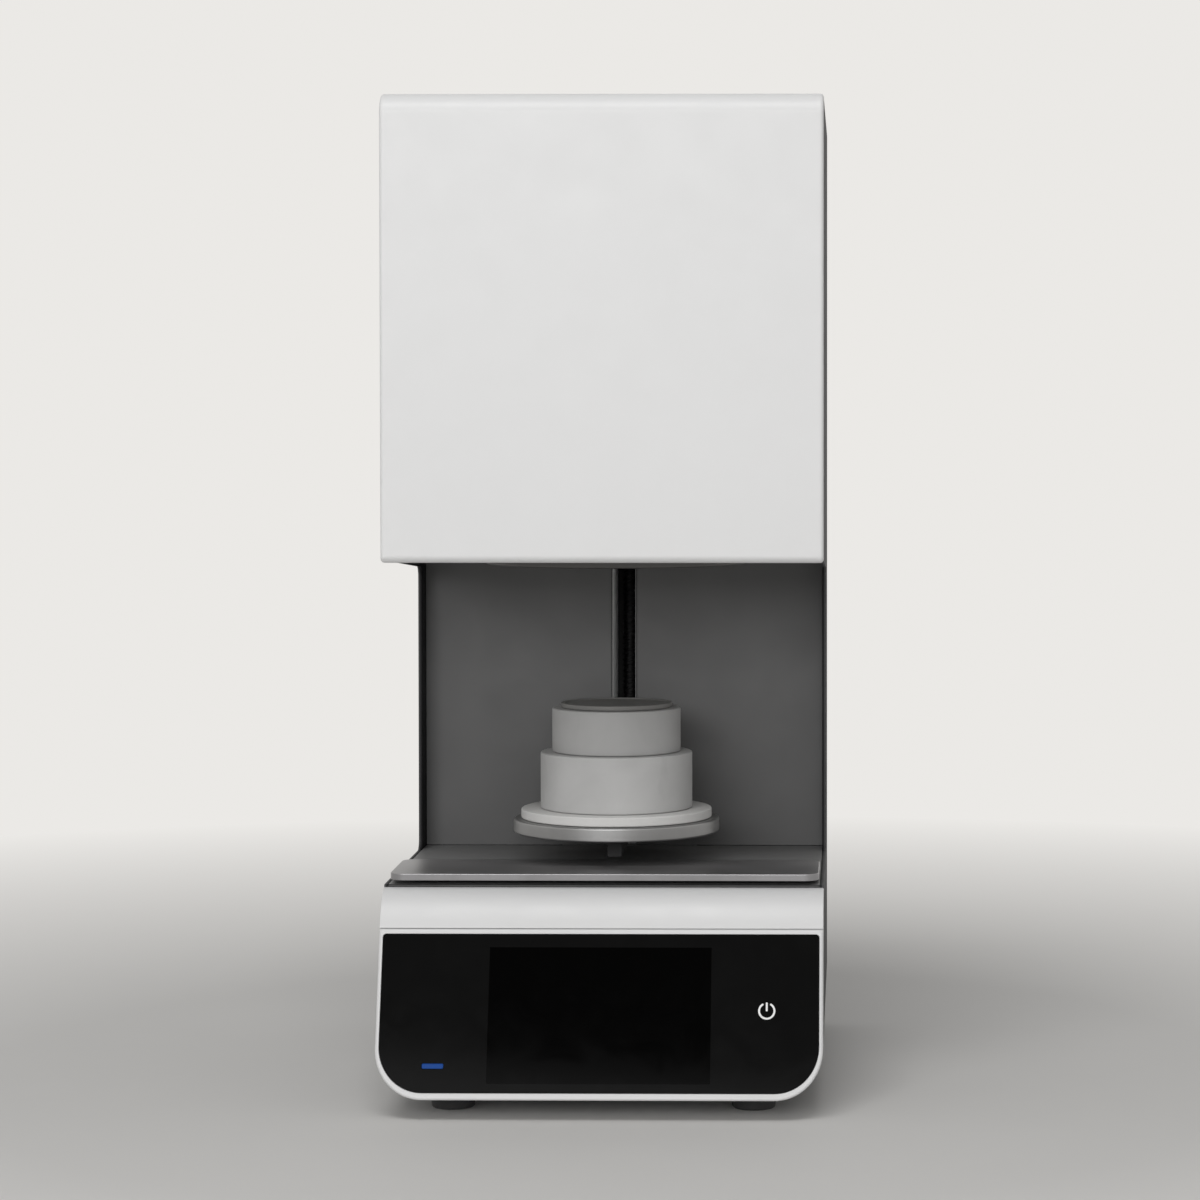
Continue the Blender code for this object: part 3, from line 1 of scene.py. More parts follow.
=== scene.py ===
"""Looks of a dental lab sintering furnace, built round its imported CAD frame. Metres, +Z up."""

import json
from math import atan2, ceil, cos, hypot, pi, radians, sin, sqrt, tan, tau

import bmesh
import bpy
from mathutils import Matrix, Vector

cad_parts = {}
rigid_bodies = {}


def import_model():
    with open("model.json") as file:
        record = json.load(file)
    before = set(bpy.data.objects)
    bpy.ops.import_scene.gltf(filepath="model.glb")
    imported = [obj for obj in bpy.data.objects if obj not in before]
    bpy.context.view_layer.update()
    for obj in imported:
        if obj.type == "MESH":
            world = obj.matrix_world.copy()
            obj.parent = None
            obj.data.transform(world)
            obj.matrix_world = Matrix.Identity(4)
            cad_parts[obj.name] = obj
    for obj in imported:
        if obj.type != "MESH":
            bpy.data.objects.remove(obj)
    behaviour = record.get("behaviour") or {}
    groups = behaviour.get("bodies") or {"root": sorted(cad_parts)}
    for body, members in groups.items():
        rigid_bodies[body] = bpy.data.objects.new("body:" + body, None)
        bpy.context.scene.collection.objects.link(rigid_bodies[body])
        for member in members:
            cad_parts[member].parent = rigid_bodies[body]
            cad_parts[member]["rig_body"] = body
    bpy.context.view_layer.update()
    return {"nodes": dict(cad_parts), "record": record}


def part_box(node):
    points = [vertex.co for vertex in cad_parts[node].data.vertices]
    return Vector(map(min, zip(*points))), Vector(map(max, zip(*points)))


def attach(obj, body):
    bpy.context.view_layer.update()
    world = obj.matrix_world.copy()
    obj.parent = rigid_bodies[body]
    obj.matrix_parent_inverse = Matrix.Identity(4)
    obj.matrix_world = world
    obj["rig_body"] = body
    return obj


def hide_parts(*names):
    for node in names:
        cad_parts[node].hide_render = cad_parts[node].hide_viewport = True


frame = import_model()

# Camera, as solved from the photograph's vanishing point and the roundness of the platform
camera_place = (0.2024, -3.0097, 0.5675)
camera_pitch = radians(1.5)
camera_yaw = radians(0.8)
camera_lens = 105
camera_sensor = 36
camera_shift = (-0.1687, -0.0802)

# Studio
backdrop_colour = (0.83, 0.815, 0.79)
sky_light = 0.30
floor_colour = (0.70, 0.69, 0.672)
floor_reach = 40.0
floor_fade = (0.55, 1.9)
lamp_target = (0.0, 0.0, 0.45)

# Cover and side panels
cover_sheet = 0.0015
cover_bend = 0.017
cover_side_bend = 0.003
cover_lip = 0.0045
hem_radius = 0.006
hem_depth = 0.015
side_sheet = 0.003
side_flange = 0.008
base_corner = 0.039
seam = 0.0003
bay_edge_lead = 0.030
bay_edge_drop = 0.014
bay_fillet = 0.010

# Base front
moulding_depth = 0.020
moulding_wall = 0.003
moulding_edge = 0.0016
bezel_edge = 0.0022
pocket_edge = 0.0003
glass_margin = 0.0034
glass_top_margin = 0.0042
glass_bottom_margin = 0.0058
glass_thickness = 0.003
glass_edge = 0.0004
glass_corner = 0.003
glass_shelf = 0.0035
glass_shelf_thickness = 0.002
brow_start_share = 0.50
brow_end_share = 0.42
window_inset = (0.0033, 0.0, 0.0038)
window_blur = 0.0002
window_drop = 0.0007
symbol_radius = 0.00616
symbol_stroke = 0.00155
symbol_gap = radians(33)
symbol_bar_share = (1.0, 0.5, 0.08)
symbol_film = 0.00006
symbol_root = 0.00001
light_flange = 0.002
light_corner = 0.0009
light_opening_corner = 0.0012

# Platform
plate_round = 0.0008
plate_fillet = 0.0006
plate_dish = 0.001
ring_gap = 0.004
ring_round = 0.0018
ring_back_round = 0.0005

# Tray
tray_corner = 0.012
tray_edge = 0.0007
tray_sheet = 0.0015
tray_pad_radius = 0.006
tray_pad_margin = 0.020
tray_pad_round = 0.0008
tray_lift = 0.0027

# Feet: the dish below, then shares of the radius and the height, each with its rounding
foot_dish = (0.45, 0.0012, 0.0006)
foot_profile = (
    (0.5, 0, 0.0006),
    (0.92, 0, 0.0018),
    (0.96, 0.55, 0.0004),
    (0.93, 0.6, 0.0004),
    (0.97, 0.66, 0.0004),
    (1, 1, 0.0008),
)

# Bay, deck and chamber
liner_sheet = 0.0012
liner_corner = 0.002
liner_opening_corner = 0.0022
deck_bend = 0.002
chamber_pan_sheet = 0.002
chamber_pan_bend = 0.003
floor_screw_places = ((-0.150, 0.150), (-0.135, -0.045, 0.060))
throat_radius = 0.068
throat_boss_radius = 0.083
throat_boss_drop = 0.0033
chamber_radius = 0.086
heater_radius = 0.006
heater_collar = 0.012
heater_edges = (0.0012, 0.0006, 0.001)
board_edge = 0.0012
board_corner = 0.003

# Rear
rear_screw_reach = 0.168
rear_screw_heights = (0.085, 0.27, 0.45, 0.63, 0.80)
vent_reach = 0.09
vent_height = 0.600
vent_rows = 8
vent_pitch = 0.010
vent_size = (0.050, 0.004)
panel_corner = 0.001

# Fan
fan_bore = 0.038
fan_duct = 0.0396
fan_flange = 0.0036
fan_strut = (0.005, 0.003)
fan_axle = 0.002
fan_hub = 0.016
fan_holes = 0.0357
fan_hole_radius = 0.0022
fan_struts = 3
fan_corner = 0.005
hub_edges = (0.0004, 0.002)
blade_count = 7
blade_reach = 0.0365
blade_span = 0.0142
blade_root = 0.8
blade_camber = 0.0014
blade_lip = 0.12
blade_stations = 8
blade_steps = 12
blade_thickness = 0.0013
blade_pitch = (radians(54), radians(36))
guard_ring_gap = 0.011
guard_spokes = 0.0412
guard_hoops = 3
guard_spoke_count = 4

# Mains inlet, switch and rocker
inlet_body = (0.027, 0.020)
inlet_socket = (0.011, 0.0075)
inlet_depth = 0.018
inlet_cut = (0.62, 0.45)
inlet_pins = ((-0.007, 0.0), (0.0, 0.002), (0.007, 0.0))
inlet_pin = (0.001, 0.002)
inlet_pin_corner = 0.0005
inlet_pin_recess = 0.006
inlet_screw = (0.0024, 0.0013)
switch_body = (0.021, 0.028)
switch_wall = 0.002
switch_pocket_corner = 0.0004
flange_corner = 0.002
fitting_corner = 0.001
rocker_tilt = radians(8)
rocker_out = (0.001, 0.003)
rocker_body = 0.004
rocker_drop = 0.004
rocker_axle = 0.0015
rocker_film = 0.00006
rocker_line = (-0.0005, 0.0005, 0.0042, 0.0078)
rocker_line_corner = 0.0002
rocker_ring_height = -0.006
rocker_ring_radii = (0.0019, 0.0012)

# Lift
screw_lead = 0.010
screw_starts = 2
thread_depth = 0.0011
thread_length = (0.160, 0.460)
thread_shares = (0.0, 0.36, 0.5, 0.86)
arm_reach = 0.006
arm_front = -0.027
arm_head_thickness = 0.0045
arm_corner = 0.001

# Intake slots of the bottom pan
intake_count = 7
intake_pitch = 0.012
intake_size = (0.004, 0.060)

# Screw heads: shares of the radius and the height, and whether the ring is a hexagon
screw_size = (0.0036, 0.0020)
screw_steps = 24
screw_profile = ((1, 0, 0), (1, 0.35, 0), (0.9, 0.8, 0), (0.72, 1, 0), (0.5, 1, 1), (0.5, 0.4, 1))

# Fineness of the round shapes, bevels of the edges and angles in degrees
round_steps = 160
bend_steps = 20
edge_steps = 4
corner_steps = 2 * edge_steps
wire_steps = 3 * edge_steps
small_steps = 2 * bend_steps
quarter = [pi / 2 * step / corner_steps for step in range(corner_steps + 1)]
least_corner = 0.001
soft_edge = 0.0004
fine_edge = 0.0003
thin_edge = 0.0002
slot_round = 0.49
wide_angle = 50
thread_angle = 30
overrun = 0.005

# Places that the CAD nodes give
cover_low, cover_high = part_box("upper_cover")
half_width = cover_high.x
front_reach = -cover_low.y
rear_reach = cover_high.y
ceiling_height = cover_low.z
cabinet_height = cover_high.z
glass_low, glass_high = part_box("front_glass")
lean = (glass_high.y - glass_thickness - glass_low.y) / (glass_high.z - glass_low.z)
floor_clearance = glass_low.z - glass_bottom_margin
seam_height = glass_high.z + glass_top_margin
deck_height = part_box("base_deck")[1].z
brow_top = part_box("base_brow")[1].z


# ---- Shapes


def rounded(corners, steps=edge_steps):
    """Give the closed outline through corners (a, b, radius), with an arc at each round one."""
    points = []
    for index, (a, b, radius) in enumerate(corners):
        here = Vector((a, b))
        if radius <= 0:
            points.append((a, b))
            continue
        back = (Vector(corners[index - 1][:2]) - here).normalized()
        ahead = (Vector(corners[(index + 1) % len(corners)][:2]) - here).normalized()
        half_opening = back.angle(ahead) / 2
        centre = here + (back + ahead).normalized() * radius / sin(half_opening)
        tangent = radius / tan(half_opening)
        first = here + back * tangent - centre
        last = here + ahead * tangent - centre
        start = atan2(first.y, first.x)
        sweep = (atan2(last.y, last.x) - start + pi) % tau - pi
        for step in range(steps + 1):
            angle = start + sweep * step / steps
            a = centre.x + radius * cos(angle)
            points.append((a, centre.y + radius * sin(angle)))
    return points


def rectangle(low_a, high_a, low_b, high_b, radius=0, steps=edge_steps):
    """Give a rectangle's outline, with its corners rounded."""
    places = ((low_a, low_b), (high_a, low_b), (high_a, high_b), (low_a, high_b))
    return rounded([(a, b, radius) for a, b in places], steps)


def centred(middle, size, radius, steps=edge_steps):
    """Give a rectangle's outline by its middle and its size."""
    (a, b), (wide, tall) = middle, size
    return rectangle(a - wide / 2, a + wide / 2, b - tall / 2, b + tall / 2, radius, steps)


def framed(box, axes, inset=0, radius=0, steps=edge_steps):
    """Give the outline of a box's low and high corners on two axes, inset from its faces."""
    (low_a, high_a), (low_b, high_b) = ([getattr(end, axis) for end in box] for axis in axes)
    return rectangle(low_a + inset, high_a - inset, low_b + inset, high_b - inset, radius, steps)


def shield(reach, low, high, lower, upper):
    """Give an outline in the front view, with one radius for both lower corners and one above."""
    lower_corners = [(-reach, low, lower), (reach, low, lower)]
    upper_corners = [(reach, high, upper), (-reach, high, upper)]
    return rounded(lower_corners + upper_corners, bend_steps)


def turns(steps):
    """Give the angles of that many equal steps round a circle."""
    return [tau * step / steps for step in range(steps)]


def circle(centre_a, centre_b, radius, steps=round_steps):
    """Give a circle's outline."""
    return [(centre_a + radius * cos(turn), centre_b + radius * sin(turn)) for turn in turns(steps)]


def loft(rings, looped=False):
    """Join closed rings of points one after another; the ends are capped, or joined as well."""
    shape = bmesh.new()
    rows = [[shape.verts.new(point) for point in ring] for ring in rings]
    pairs = list(zip(rows, rows[1:]))
    if looped:
        pairs.append((rows[-1], rows[0]))
    for near, far in pairs:
        for index in range(len(near)):
            shape.faces.new((near[index - 1], near[index], far[index], far[index - 1]))
    if not looped:
        shape.faces.new(rows[0])
        shape.faces.new(rows[-1])
    bmesh.ops.recalc_face_normals(shape, faces=shape.faces)
    return shape


def placed(axis, level, a, b):
    """Put an outline's point at a level along one axis."""
    return {"X": (level, a, b), "Y": (a, level, b), "Z": (a, b, level)}[axis]


def prism(outline, axis, low, high):
    """Extrude a closed outline along one axis."""
    return loft([[placed(axis, level, a, b) for a, b in outline] for level in (low, high)])


def cut(axis, low, high, *outlines):
    """Give the step that cuts outlines that don't touch right through, from low to high."""
    return "DIFFERENCE", gathered(
        [prism(outline, axis, low - overrun, high + overrun) for outline in outlines]
    )


def turned(profile, centre=(0, 0, 0), axis="Z", steps=round_steps, wobble=0.0):
    """Turn a profile of (radius, height) points about an axis.

    It runs from axis to axis, or is closed in itself. The wobble makes the radius vary a little
    round the piece, as on a cast or pressed one.
    """
    shape = bmesh.new()
    rows = []
    for turn in turns(steps):
        uneven = 1 + wobble * (sin(3 * turn + 0.7) + 0.6 * sin(7 * turn + 2.1))
        row = []
        for radius, height in profile:
            a = radius * uneven * cos(turn)
            b = radius * uneven * sin(turn)
            row.append(shape.verts.new(Vector(centre) + Vector(placed(axis, height, a, b))))
        rows.append(row)
    for index, row in enumerate(rows):
        before = rows[index - 1]
        for point in range(len(profile)):
            shape.faces.new((before[point - 1], before[point], row[point], row[point - 1]))
    bmesh.ops.remove_doubles(shape, verts=shape.verts, dist=1e-7)
    loose = [edge for edge in shape.edges if not edge.link_faces]
    bmesh.ops.delete(shape, geom=loose, context="EDGES")
    bmesh.ops.recalc_face_normals(shape, faces=shape.faces)
    return shape


def rod(start, end, radius, steps):
    """Give a round bar between two points, with slightly rounded ends."""
    tip_length, tip_radius = 0.4, 0.6
    start, end = Vector(start), Vector(end)
    along = (end - start).normalized()
    side = along.orthogonal().normalized()
    other = along.cross(side)
    tip = along * radius * tip_length
    offsets = [side * cos(turn) + other * sin(turn) for turn in turns(steps)]
    rings = []
    for place, share in ((start, tip_radius), (start + tip, 1), (end - tip, 1), (end, tip_radius)):
        rings.append([place + offset * radius * share for offset in offsets])
    return loft(rings)


def screw_head(place, axis, side, size):
    """Give a button-head screw with a hexagon socket, standing out from its seat along an axis."""
    radius, height = size
    sixth = pi / 3
    rings = []
    for reach, level, hexagon in screw_profile:
        ring = []
        for turn in turns(screw_steps):
            out = radius * reach
            if hexagon:
                out *= cos(sixth / 2) / cos(turn % sixth - sixth / 2)
            a, b = out * cos(turn), out * sin(turn)
            ring.append(Vector(place) + Vector(placed(axis, side * height * level, a, b)))
        rings.append(ring)
    return loft(rings)


def gathered(shapes):
    """Put several bmeshes that don't touch into one."""
    whole = bmesh.new()
    for shape in shapes:
        mesh = bpy.data.meshes.new("extra")
        shape.to_mesh(mesh)
        shape.free()
        whole.from_mesh(mesh)
        bpy.data.meshes.remove(mesh)
    return whole


def disc_profile(radius, low, high, edge):
    """Give the profile of a solid disc with round rims."""
    corners = [(0, low, 0), (radius, low, edge), (radius, high, edge), (0, high, 0)]
    return rounded(corners)


# ---- Pieces

slot_of = {part["node"]: part["material_slot"] for part in frame["record"]["subparts"]}
body_of = {node: thing["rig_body"] for node, thing in frame["nodes"].items()}
finishes = {}


def added(name, data):
    """Make a scene object of a mesh, a light or a camera."""
    thing = bpy.data.objects.new(name, data)
    bpy.context.scene.collection.objects.link(thing)
    return thing


def loose_object(name, shape):
    """Make a scene object from a bmesh."""
    mesh = bpy.data.meshes.new(name)
    shape.to_mesh(mesh)
    shape.free()
    return added(name, mesh)


def modified(thing, kind, **settings):
    """Put a modifier on an object and apply it."""
    step = thing.modifiers.new(kind, kind)
    for key, value in settings.items():
        setattr(step, key, value)
    graph = bpy.context.evaluated_depsgraph_get()
    mesh = bpy.data.meshes.new_from_object(thing.evaluated_get(graph))
    old = thing.data
    thing.modifiers.clear()
    thing.data = mesh
    bpy.data.meshes.remove(old)
    mesh.name = thing.name


def centre(node):
    """Give the middle of a CAD node's box."""
    low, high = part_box(node)
    return (low + high) / 2


def piece(name, shape, home, work=(), edge=0.0, look=None, slot=None, stands_for=True, angle=32):
    """Add a piece that rides with the CAD node home, and stands for it unless it is an extra.

    The work on it is a list of steps, each a Boolean operation and its second shape.
    """
    thing = loose_object(name, shape)
    for operation, second in work:
        tool = loose_object("tool", second)
        modified(thing, "BOOLEAN", operation=operation, solver="EXACT", object=tool)
        bpy.data.objects.remove(tool)
    if edge:
        limit = {"limit_method": "ANGLE", "angle_limit": radians(angle)}
        modified(thing, "BEVEL", width=edge, segments=2, **limit)
    thing.data.shade_smooth()
    thing.data.set_sharp_from_angle(angle=radians(angle + 8))
    modified(thing, "WEIGHTED_NORMAL", keep_sharp=True)
    chosen = slot or slot_of[home]
    thing.data.materials.clear()
    thing.data.materials.append(finishes[look or chosen])
    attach(thing, body_of[home])
    if stands_for:
        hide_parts(home)
    return thing


def screws(name, home, places, axis, side, size=screw_size):
    """Add a set of screws as extras on the CAD node home."""
    heads = gathered([screw_head(place, axis, side, size) for place in places])
    piece(name, heads, home, slot="bright_steel", stands_for=False)


# ---- Finishes


class Graph:
    """Builds the nodes of a material or of the world."""

    def __init__(self, tree):
        self.tree = tree

    def feed(self, socket, value):
        """Link an output to a socket, or set the socket to a plain value."""
        if isinstance(value, bpy.types.NodeSocket):
            self.tree.links.new(value, socket)
        elif isinstance(value, tuple) and socket.type == "RGBA":
            socket.default_value = (*value, 1)
        else:
            socket.default_value = value

    def node(self, kind, inputs, output, **settings):
        """Add a node with its settings and inputs, and give one output."""
        made = self.tree.nodes.new("ShaderNode" + kind)
        for key, value in settings.items():
            setattr(made, key, value)
        for key, value in inputs.items():
            self.feed(made.inputs[key], value)
        return made.outputs[output]

    def calculate(self, operation, first, second=0.5):
        """Give what one operation makes of two values."""
        return self.node("Math", {0: first, 1: second}, "Value", operation=operation)

    def background_rays(self):
        """Give 1 for the rays that see the background: camera, mirror and glass rays."""
        path = self.tree.nodes.new("ShaderNodeLightPath").outputs
        seen = self.calculate("MAXIMUM", path["Is Camera Ray"], path["Is Glossy Ray"])
        return self.calculate("MAXIMUM", seen, path["Is Transmission Ray"])

    def mix_out(self, share, first, second, output):
        """Send a mix of two shaders to the output."""
        mix = self.node("MixShader", {0: share, 1: first, 2: second}, 0)
        self.feed(self.tree.nodes[output].inputs[0], mix)


class Finish(Graph):
    """Builds one procedural material. Its coordinates are the object's own, in metres."""

    def __init__(self, name):
        self.name = name
        self.material = bpy.data.materials.new(name)
        self.material.use_nodes = True
        super().__init__(self.material.node_tree)
        self.shader = self.tree.nodes["Principled BSDF"]
        self.place = self.tree.nodes.new("ShaderNodeTexCoord").outputs["Object"]

    def stretched(self, scale):
        """Give the coordinates times a scale on each axis."""
        inputs = {0: self.place, 1: scale}
        return self.node("VectorMath", inputs, "Vector", operation="MULTIPLY")

    def noise(self, scale, detail=3, place=None, distortion=0.0):
        """Give soft noise; scale is in bumps per metre."""
        inputs = {"Vector": place or self.place, "Scale": scale, "Detail": detail}
        inputs["Distortion"] = distortion
        return self.node("TexNoise", inputs, "Fac")

    def cells(self, scale, output="Distance", place=None):
        """Give a cell pattern."""
        inputs = {"Vector": place or self.place, "Scale": scale}
        return self.node("TexVoronoi", inputs, output)

    def span(self, value, low, high, start=0.3, end=0.7):
        """Spread a value's start to end over low to high."""
        inputs = {"Value": value, "From Min": start, "From Max": end, "To Min": low, "To Max": high}
        return self.node("MapRange", inputs, "Result")

    def around(self, value, middle, below, above=None):
        """Spread a value over a range about a middle one."""
        return self.span(value, middle - below, middle + (below if above is None else above))

    def within(self, axis, middle, reach, blur):
        """Give 1 where the place on an axis is within reach of a middle one, and 0 elsewhere."""
        across = self.node("SeparateXYZ", {0: self.place}, axis)
        away = self.calculate("ABSOLUTE", self.calculate("SUBTRACT", across, middle))
        return self.span(away, 1, 0, reach - blur, reach + blur)

    def blend(self, share, first, second):
        """Blend two colours."""
        inputs = {"Factor": share, 6: first, 7: second}
        return self.node("Mix", inputs, 2, data_type="RGBA")

    def clouded(self, value, colour, dark, light, start=0.3, end=0.7):
        """Blend a darker and a lighter form of a colour over a value's start to end."""
        share = self.span(value, 0, 1, start, end)
        return self.blend(share, tone(colour, dark), tone(colour, light))

    def bump(self, height, depth, under=None):
        """Give a normal with relief of that depth in metres."""
        inputs = {"Height": height, "Distance": depth}
        if under is not None:
            inputs["Normal"] = under
        return self.node("Bump", inputs, "Normal")

    def done(self, **inputs):
        """Set the shader's inputs, named with underscores for spaces, and keep the finish."""
        for key, value in inputs.items():
            self.feed(self.shader.inputs[key.replace("_", " ")], value)
        finishes[self.name] = self.material


def tone(colour, share):
    """Give a lighter or darker form of a colour."""
    return tuple(channel * share for channel in colour)


def paint(name, colour, roughness, grain, depth, variation=0.02, specular=0.5, inner=None):
    """Powder coat or moulded skin: a fine orange peel, faint clouds and uneven gloss.

    Inner is an axis, a place and a reach on it, and the colour painted on the faces within that
    reach, as painted shade or painted light.
    """
    look = Finish(name)
    cloud = look.span(look.noise(6, 4), 0, 1)
    base = look.blend(cloud, tone(colour, 1 - variation), tone(colour, 1 + variation / 2))
    if inner:
        # The faces within the reach take the inner colour: painted shade where it is darker,
        # painted light where it is lighter.
        axis, middle, reach, shade = inner
        within = look.within(axis, middle, reach, seam / 4)
        base = look.blend(within, base, look.blend(cloud, shade, tone(shade, 1.1)))
    long_wave = look.bump(look.noise(grain / 6, 1), depth * 1.5)
    look.done(
        Base_Color=base,
        Roughness=look.around(look.noise(28, 5), roughness, 0.05),
        Specular_IOR_Level=specular,
        Normal=look.bump(look.noise(grain, 2), depth, long_wave),
    )


def metal(name, colour, roughness, lines, depth, spread=0.08, anisotropic=0.0):
    """Worked steel or aluminium: drawn lines, smudges and faint stains."""
    look = Finish(name)
    drawn = look.noise(1, 3, look.stretched(lines))
    smudge = look.noise(22, 5, distortion=0.4)
    gloss = look.around(smudge, roughness, spread / 2)
    look.done(
        Base_Color=look.clouded(smudge, colour, 0.9, 1.06),
        Metallic=1.0,
        Roughness=look.calculate("ADD", gloss, look.around(drawn, 0, spread / 4)),
        Anisotropic=anisotropic,
        Normal=look.bump(drawn, depth),
    )


def turned_metal(name, colour, roughness):
    """Steel turned on a lathe: fine rings about the upright axis, with a little stain."""
    look = Finish(name)
    flat = look.stretched((1.0, 1.0, 0.0))
    radius = look.node("VectorMath", {0: flat}, "Value", operation="LENGTH")
    height = look.node("SeparateXYZ", {0: look.place}, "Z")
    rings = look.node("CombineXYZ", {0: radius, 1: height}, "Vector")
    wide = look.noise(420, 3, rings)
    stain = look.noise(26, 5)
    gloss = look.around(stain, roughness, 0.05, 0.06)
    look.done(
        Base_Color=look.clouded(stain, colour, 0.86, 1.08),
        Metallic=1.0,
        Roughness=look.calculate("ADD", gloss, look.around(wide, 0, 0.03)),
        Normal=look.bump(look.noise(2600, 2, rings), 0.000012, look.bump(wide, 0.00002)),
    )


def fibre(name, colour, fleck, depth, roughness=0.9):
    """Pressed ceramic fibre: matted strands, small shot flecks and a dusty surface."""
    look = Finish(name)
    strands = look.noise(260, 5, look.stretched((1.0, 1.0, 2.4)), distortion=1.6)
    base = look.clouded(look.noise(16, 5), colour, 0.93, 1.05)
    look.done(
        Base_Color=look.blend(look.span(look.cells(520), 1, 0, 0.03, 0.09), base, fleck),
        Roughness=look.around(strands, roughness, 0.06),
        Normal=look.bump(look.noise(900, 3), depth * 0.4, look.bump(strands, depth)),
    )


def ceramic(name, colour, roughness):
    """Fired ceramic: fine grit, cast clouds and a few darker rubbed places."""
    look = Finish(name)
    cloud = look.noise(20, 6, distortion=0.5)
    rubbed = look.noise(48, 4, look.stretched((1.0, 1.0, 0.35)))
    base = look.clouded(cloud, colour, 0.94, 1.05, 0.35, 0.65)
    look.done(
        Base_Color=look.blend(look.span(rubbed, 0, 0.35, 0.62, 0.75), base, tone(colour, 0.78)),
        Roughness=look.around(cloud, roughness, 0.05),
        Normal=look.bump(look.noise(1400, 3), 0.00003, look.bump(look.noise(90, 4), 0.00012)),
    )


def zinc(name, colour, roughness):
    """Galvanised sheet: spangle of flat crystals, each of its own shade."""
    look = Finish(name)
    crystals = look.cells(95, "Color")
    shade = look.node("SeparateColor", {0: crystals}, 0)
    base = look.blend(shade, tone(colour, 0.82), tone(colour, 1.1))
    look.done(
        Base_Color=base,
        Metallic=1.0,
        Roughness=look.span(shade, roughness - 0.07, roughness + 0.08, 0, 1),
        Normal=look.bump(look.noise(700, 3), 0.00001),
    )


def screen_glass(name, border, window, node):
    """Black printed glass over the screen: the window is a shade darker, both faintly smudged."""
    look = Finish(name)
    low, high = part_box(node)
    middle = (low + high) / 2
    half = (high - low) / 2 - Vector(window_inset)
    across = look.within("X", middle.x, half.x, window_blur)
    up = look.within("Z", middle.z - window_drop, half.z, window_blur)
    smudge = look.noise(30, 5, distortion=1.2)
    printed = look.clouded(smudge, border, 0.94, 1.06)
    look.done(
        Base_Color=look.blend(look.calculate("MULTIPLY", across, up), printed, window),
        Roughness=look.span(smudge, 0.05, 0.1),
        Specular_IOR_Level=0.02,
        Normal=look.bump(look.noise(14, 2), 0.00001),
    )


def plastic(name, colour, roughness, grain, depth):
    """Moulded plastic or rubber: spark-eroded grain and uneven gloss."""
    look = Finish(name)
    cloud = look.noise(40, 4)
    look.done(
        Base_Color=look.clouded(cloud, colour, 0.88, 1.14),
        Roughness=look.around(cloud, roughness, 0.07),
        Normal=look.bump(look.cells(grain), depth, look.bump(look.noise(grain / 3, 2), depth)),
    )


def glowing(name, colour, edge, strength):
    """Light guide, or print with a painted glow: a diffused glow, a little weaker in places."""
    look = Finish(name)
    cloud = look.span(look.noise(260, 2), 0, 1)
    lit = look.blend(cloud, tone(colour, 0.92), colour)
    look.done(
        Base_Color=look.blend(cloud, edge, colour),
        Emission_Color=lit,
        Emission_Strength=strength,
        Specular_IOR_Level=0.1,
        Roughness=look.span(cloud, 0.3, 0.4),
    )


def board(name):
    """Circuit board: solder mask over the shadows of copper tracks and pads."""
    look = Finish(name)
    tracks = look.cells(210, place=look.stretched((1.0, 0.4, 1.7)))
    copper = look.span(tracks, 1, 0, 0.16, 0.2)
    mask = look.blend(copper, (0.012, 0.085, 0.032), (0.03, 0.17, 0.07))
    look.done(
        Base_Color=mask,
        Roughness=look.span(look.noise(120, 3), 0.3, 0.42),
        Normal=look.bump(copper, 0.00004),
    )


paint("white_paint", (0.75, 0.75, 0.75), 0.42, 620, 0.000014, 0.01)
paint("white_moulding", (0.68, 0.68, 0.68), 0.38, 900, 0.000008)
paint("dark_paint", (0.075, 0.075, 0.076), 0.6, 1100, 0.00006, 0.06, 0.25)
# Painted shade: the side panels' inner faces are near black, for the shade inside the bay.
inside = ("X", 0.0, half_width - side_sheet / 2, (0.013, 0.013, 0.014))
paint("side_paint_with_painted_shade", (0.066, 0.066, 0.067), 0.65, 1100, 0.00006, 0.06, 0.16, inside)
paint("bay_paint", (0.125, 0.125, 0.125), 0.55, 1100, 0.00004, 0.05, 0.4)
# Painted light and shade: the deck takes a lighter copy of the bay paint, and its front fold is
# near black for the shaded gap under the tray.
painted_shade_front_edge = ("Y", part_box("base_deck")[0].y, deck_bend, (0.02, 0.02, 0.02))
paint("deck_paint_painted_light_and_shade", (0.19, 0.19, 0.19), 0.5, 1100, 0.00004, 0.05, 0.4, painted_shade_front_edge)
# Painted light: the slot liner's inner faces are light grey, for light that the lamps don't bring
# into the slot.
painted_light_lining = ("X", 0.0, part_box("slot_liner")[1].x - liner_sheet * 0.9, (0.8, 0.8, 0.8))
paint("liner_paint_with_painted_light", (0.09, 0.09, 0.09), 0.55, 1100, 0.00004, 0.05, 0.4, painted_light_lining)
screen_glass("black_glass", (0.005, 0.005, 0.005), (0.0002, 0.0002, 0.0002), "display_module")
metal("polished_steel", (0.275, 0.272, 0.279), 0.36, (40, 1500, 1500), 0.0000012, 0.03, 0.3)
turned_metal("brushed_steel", (0.30, 0.30, 0.30), 0.42)
# Painted shade: this steel is darkened to stand in for the dark bay that the throat ring reflects.
turned_metal("heat_steel", (0.11, 0.108, 0.105), 0.45)
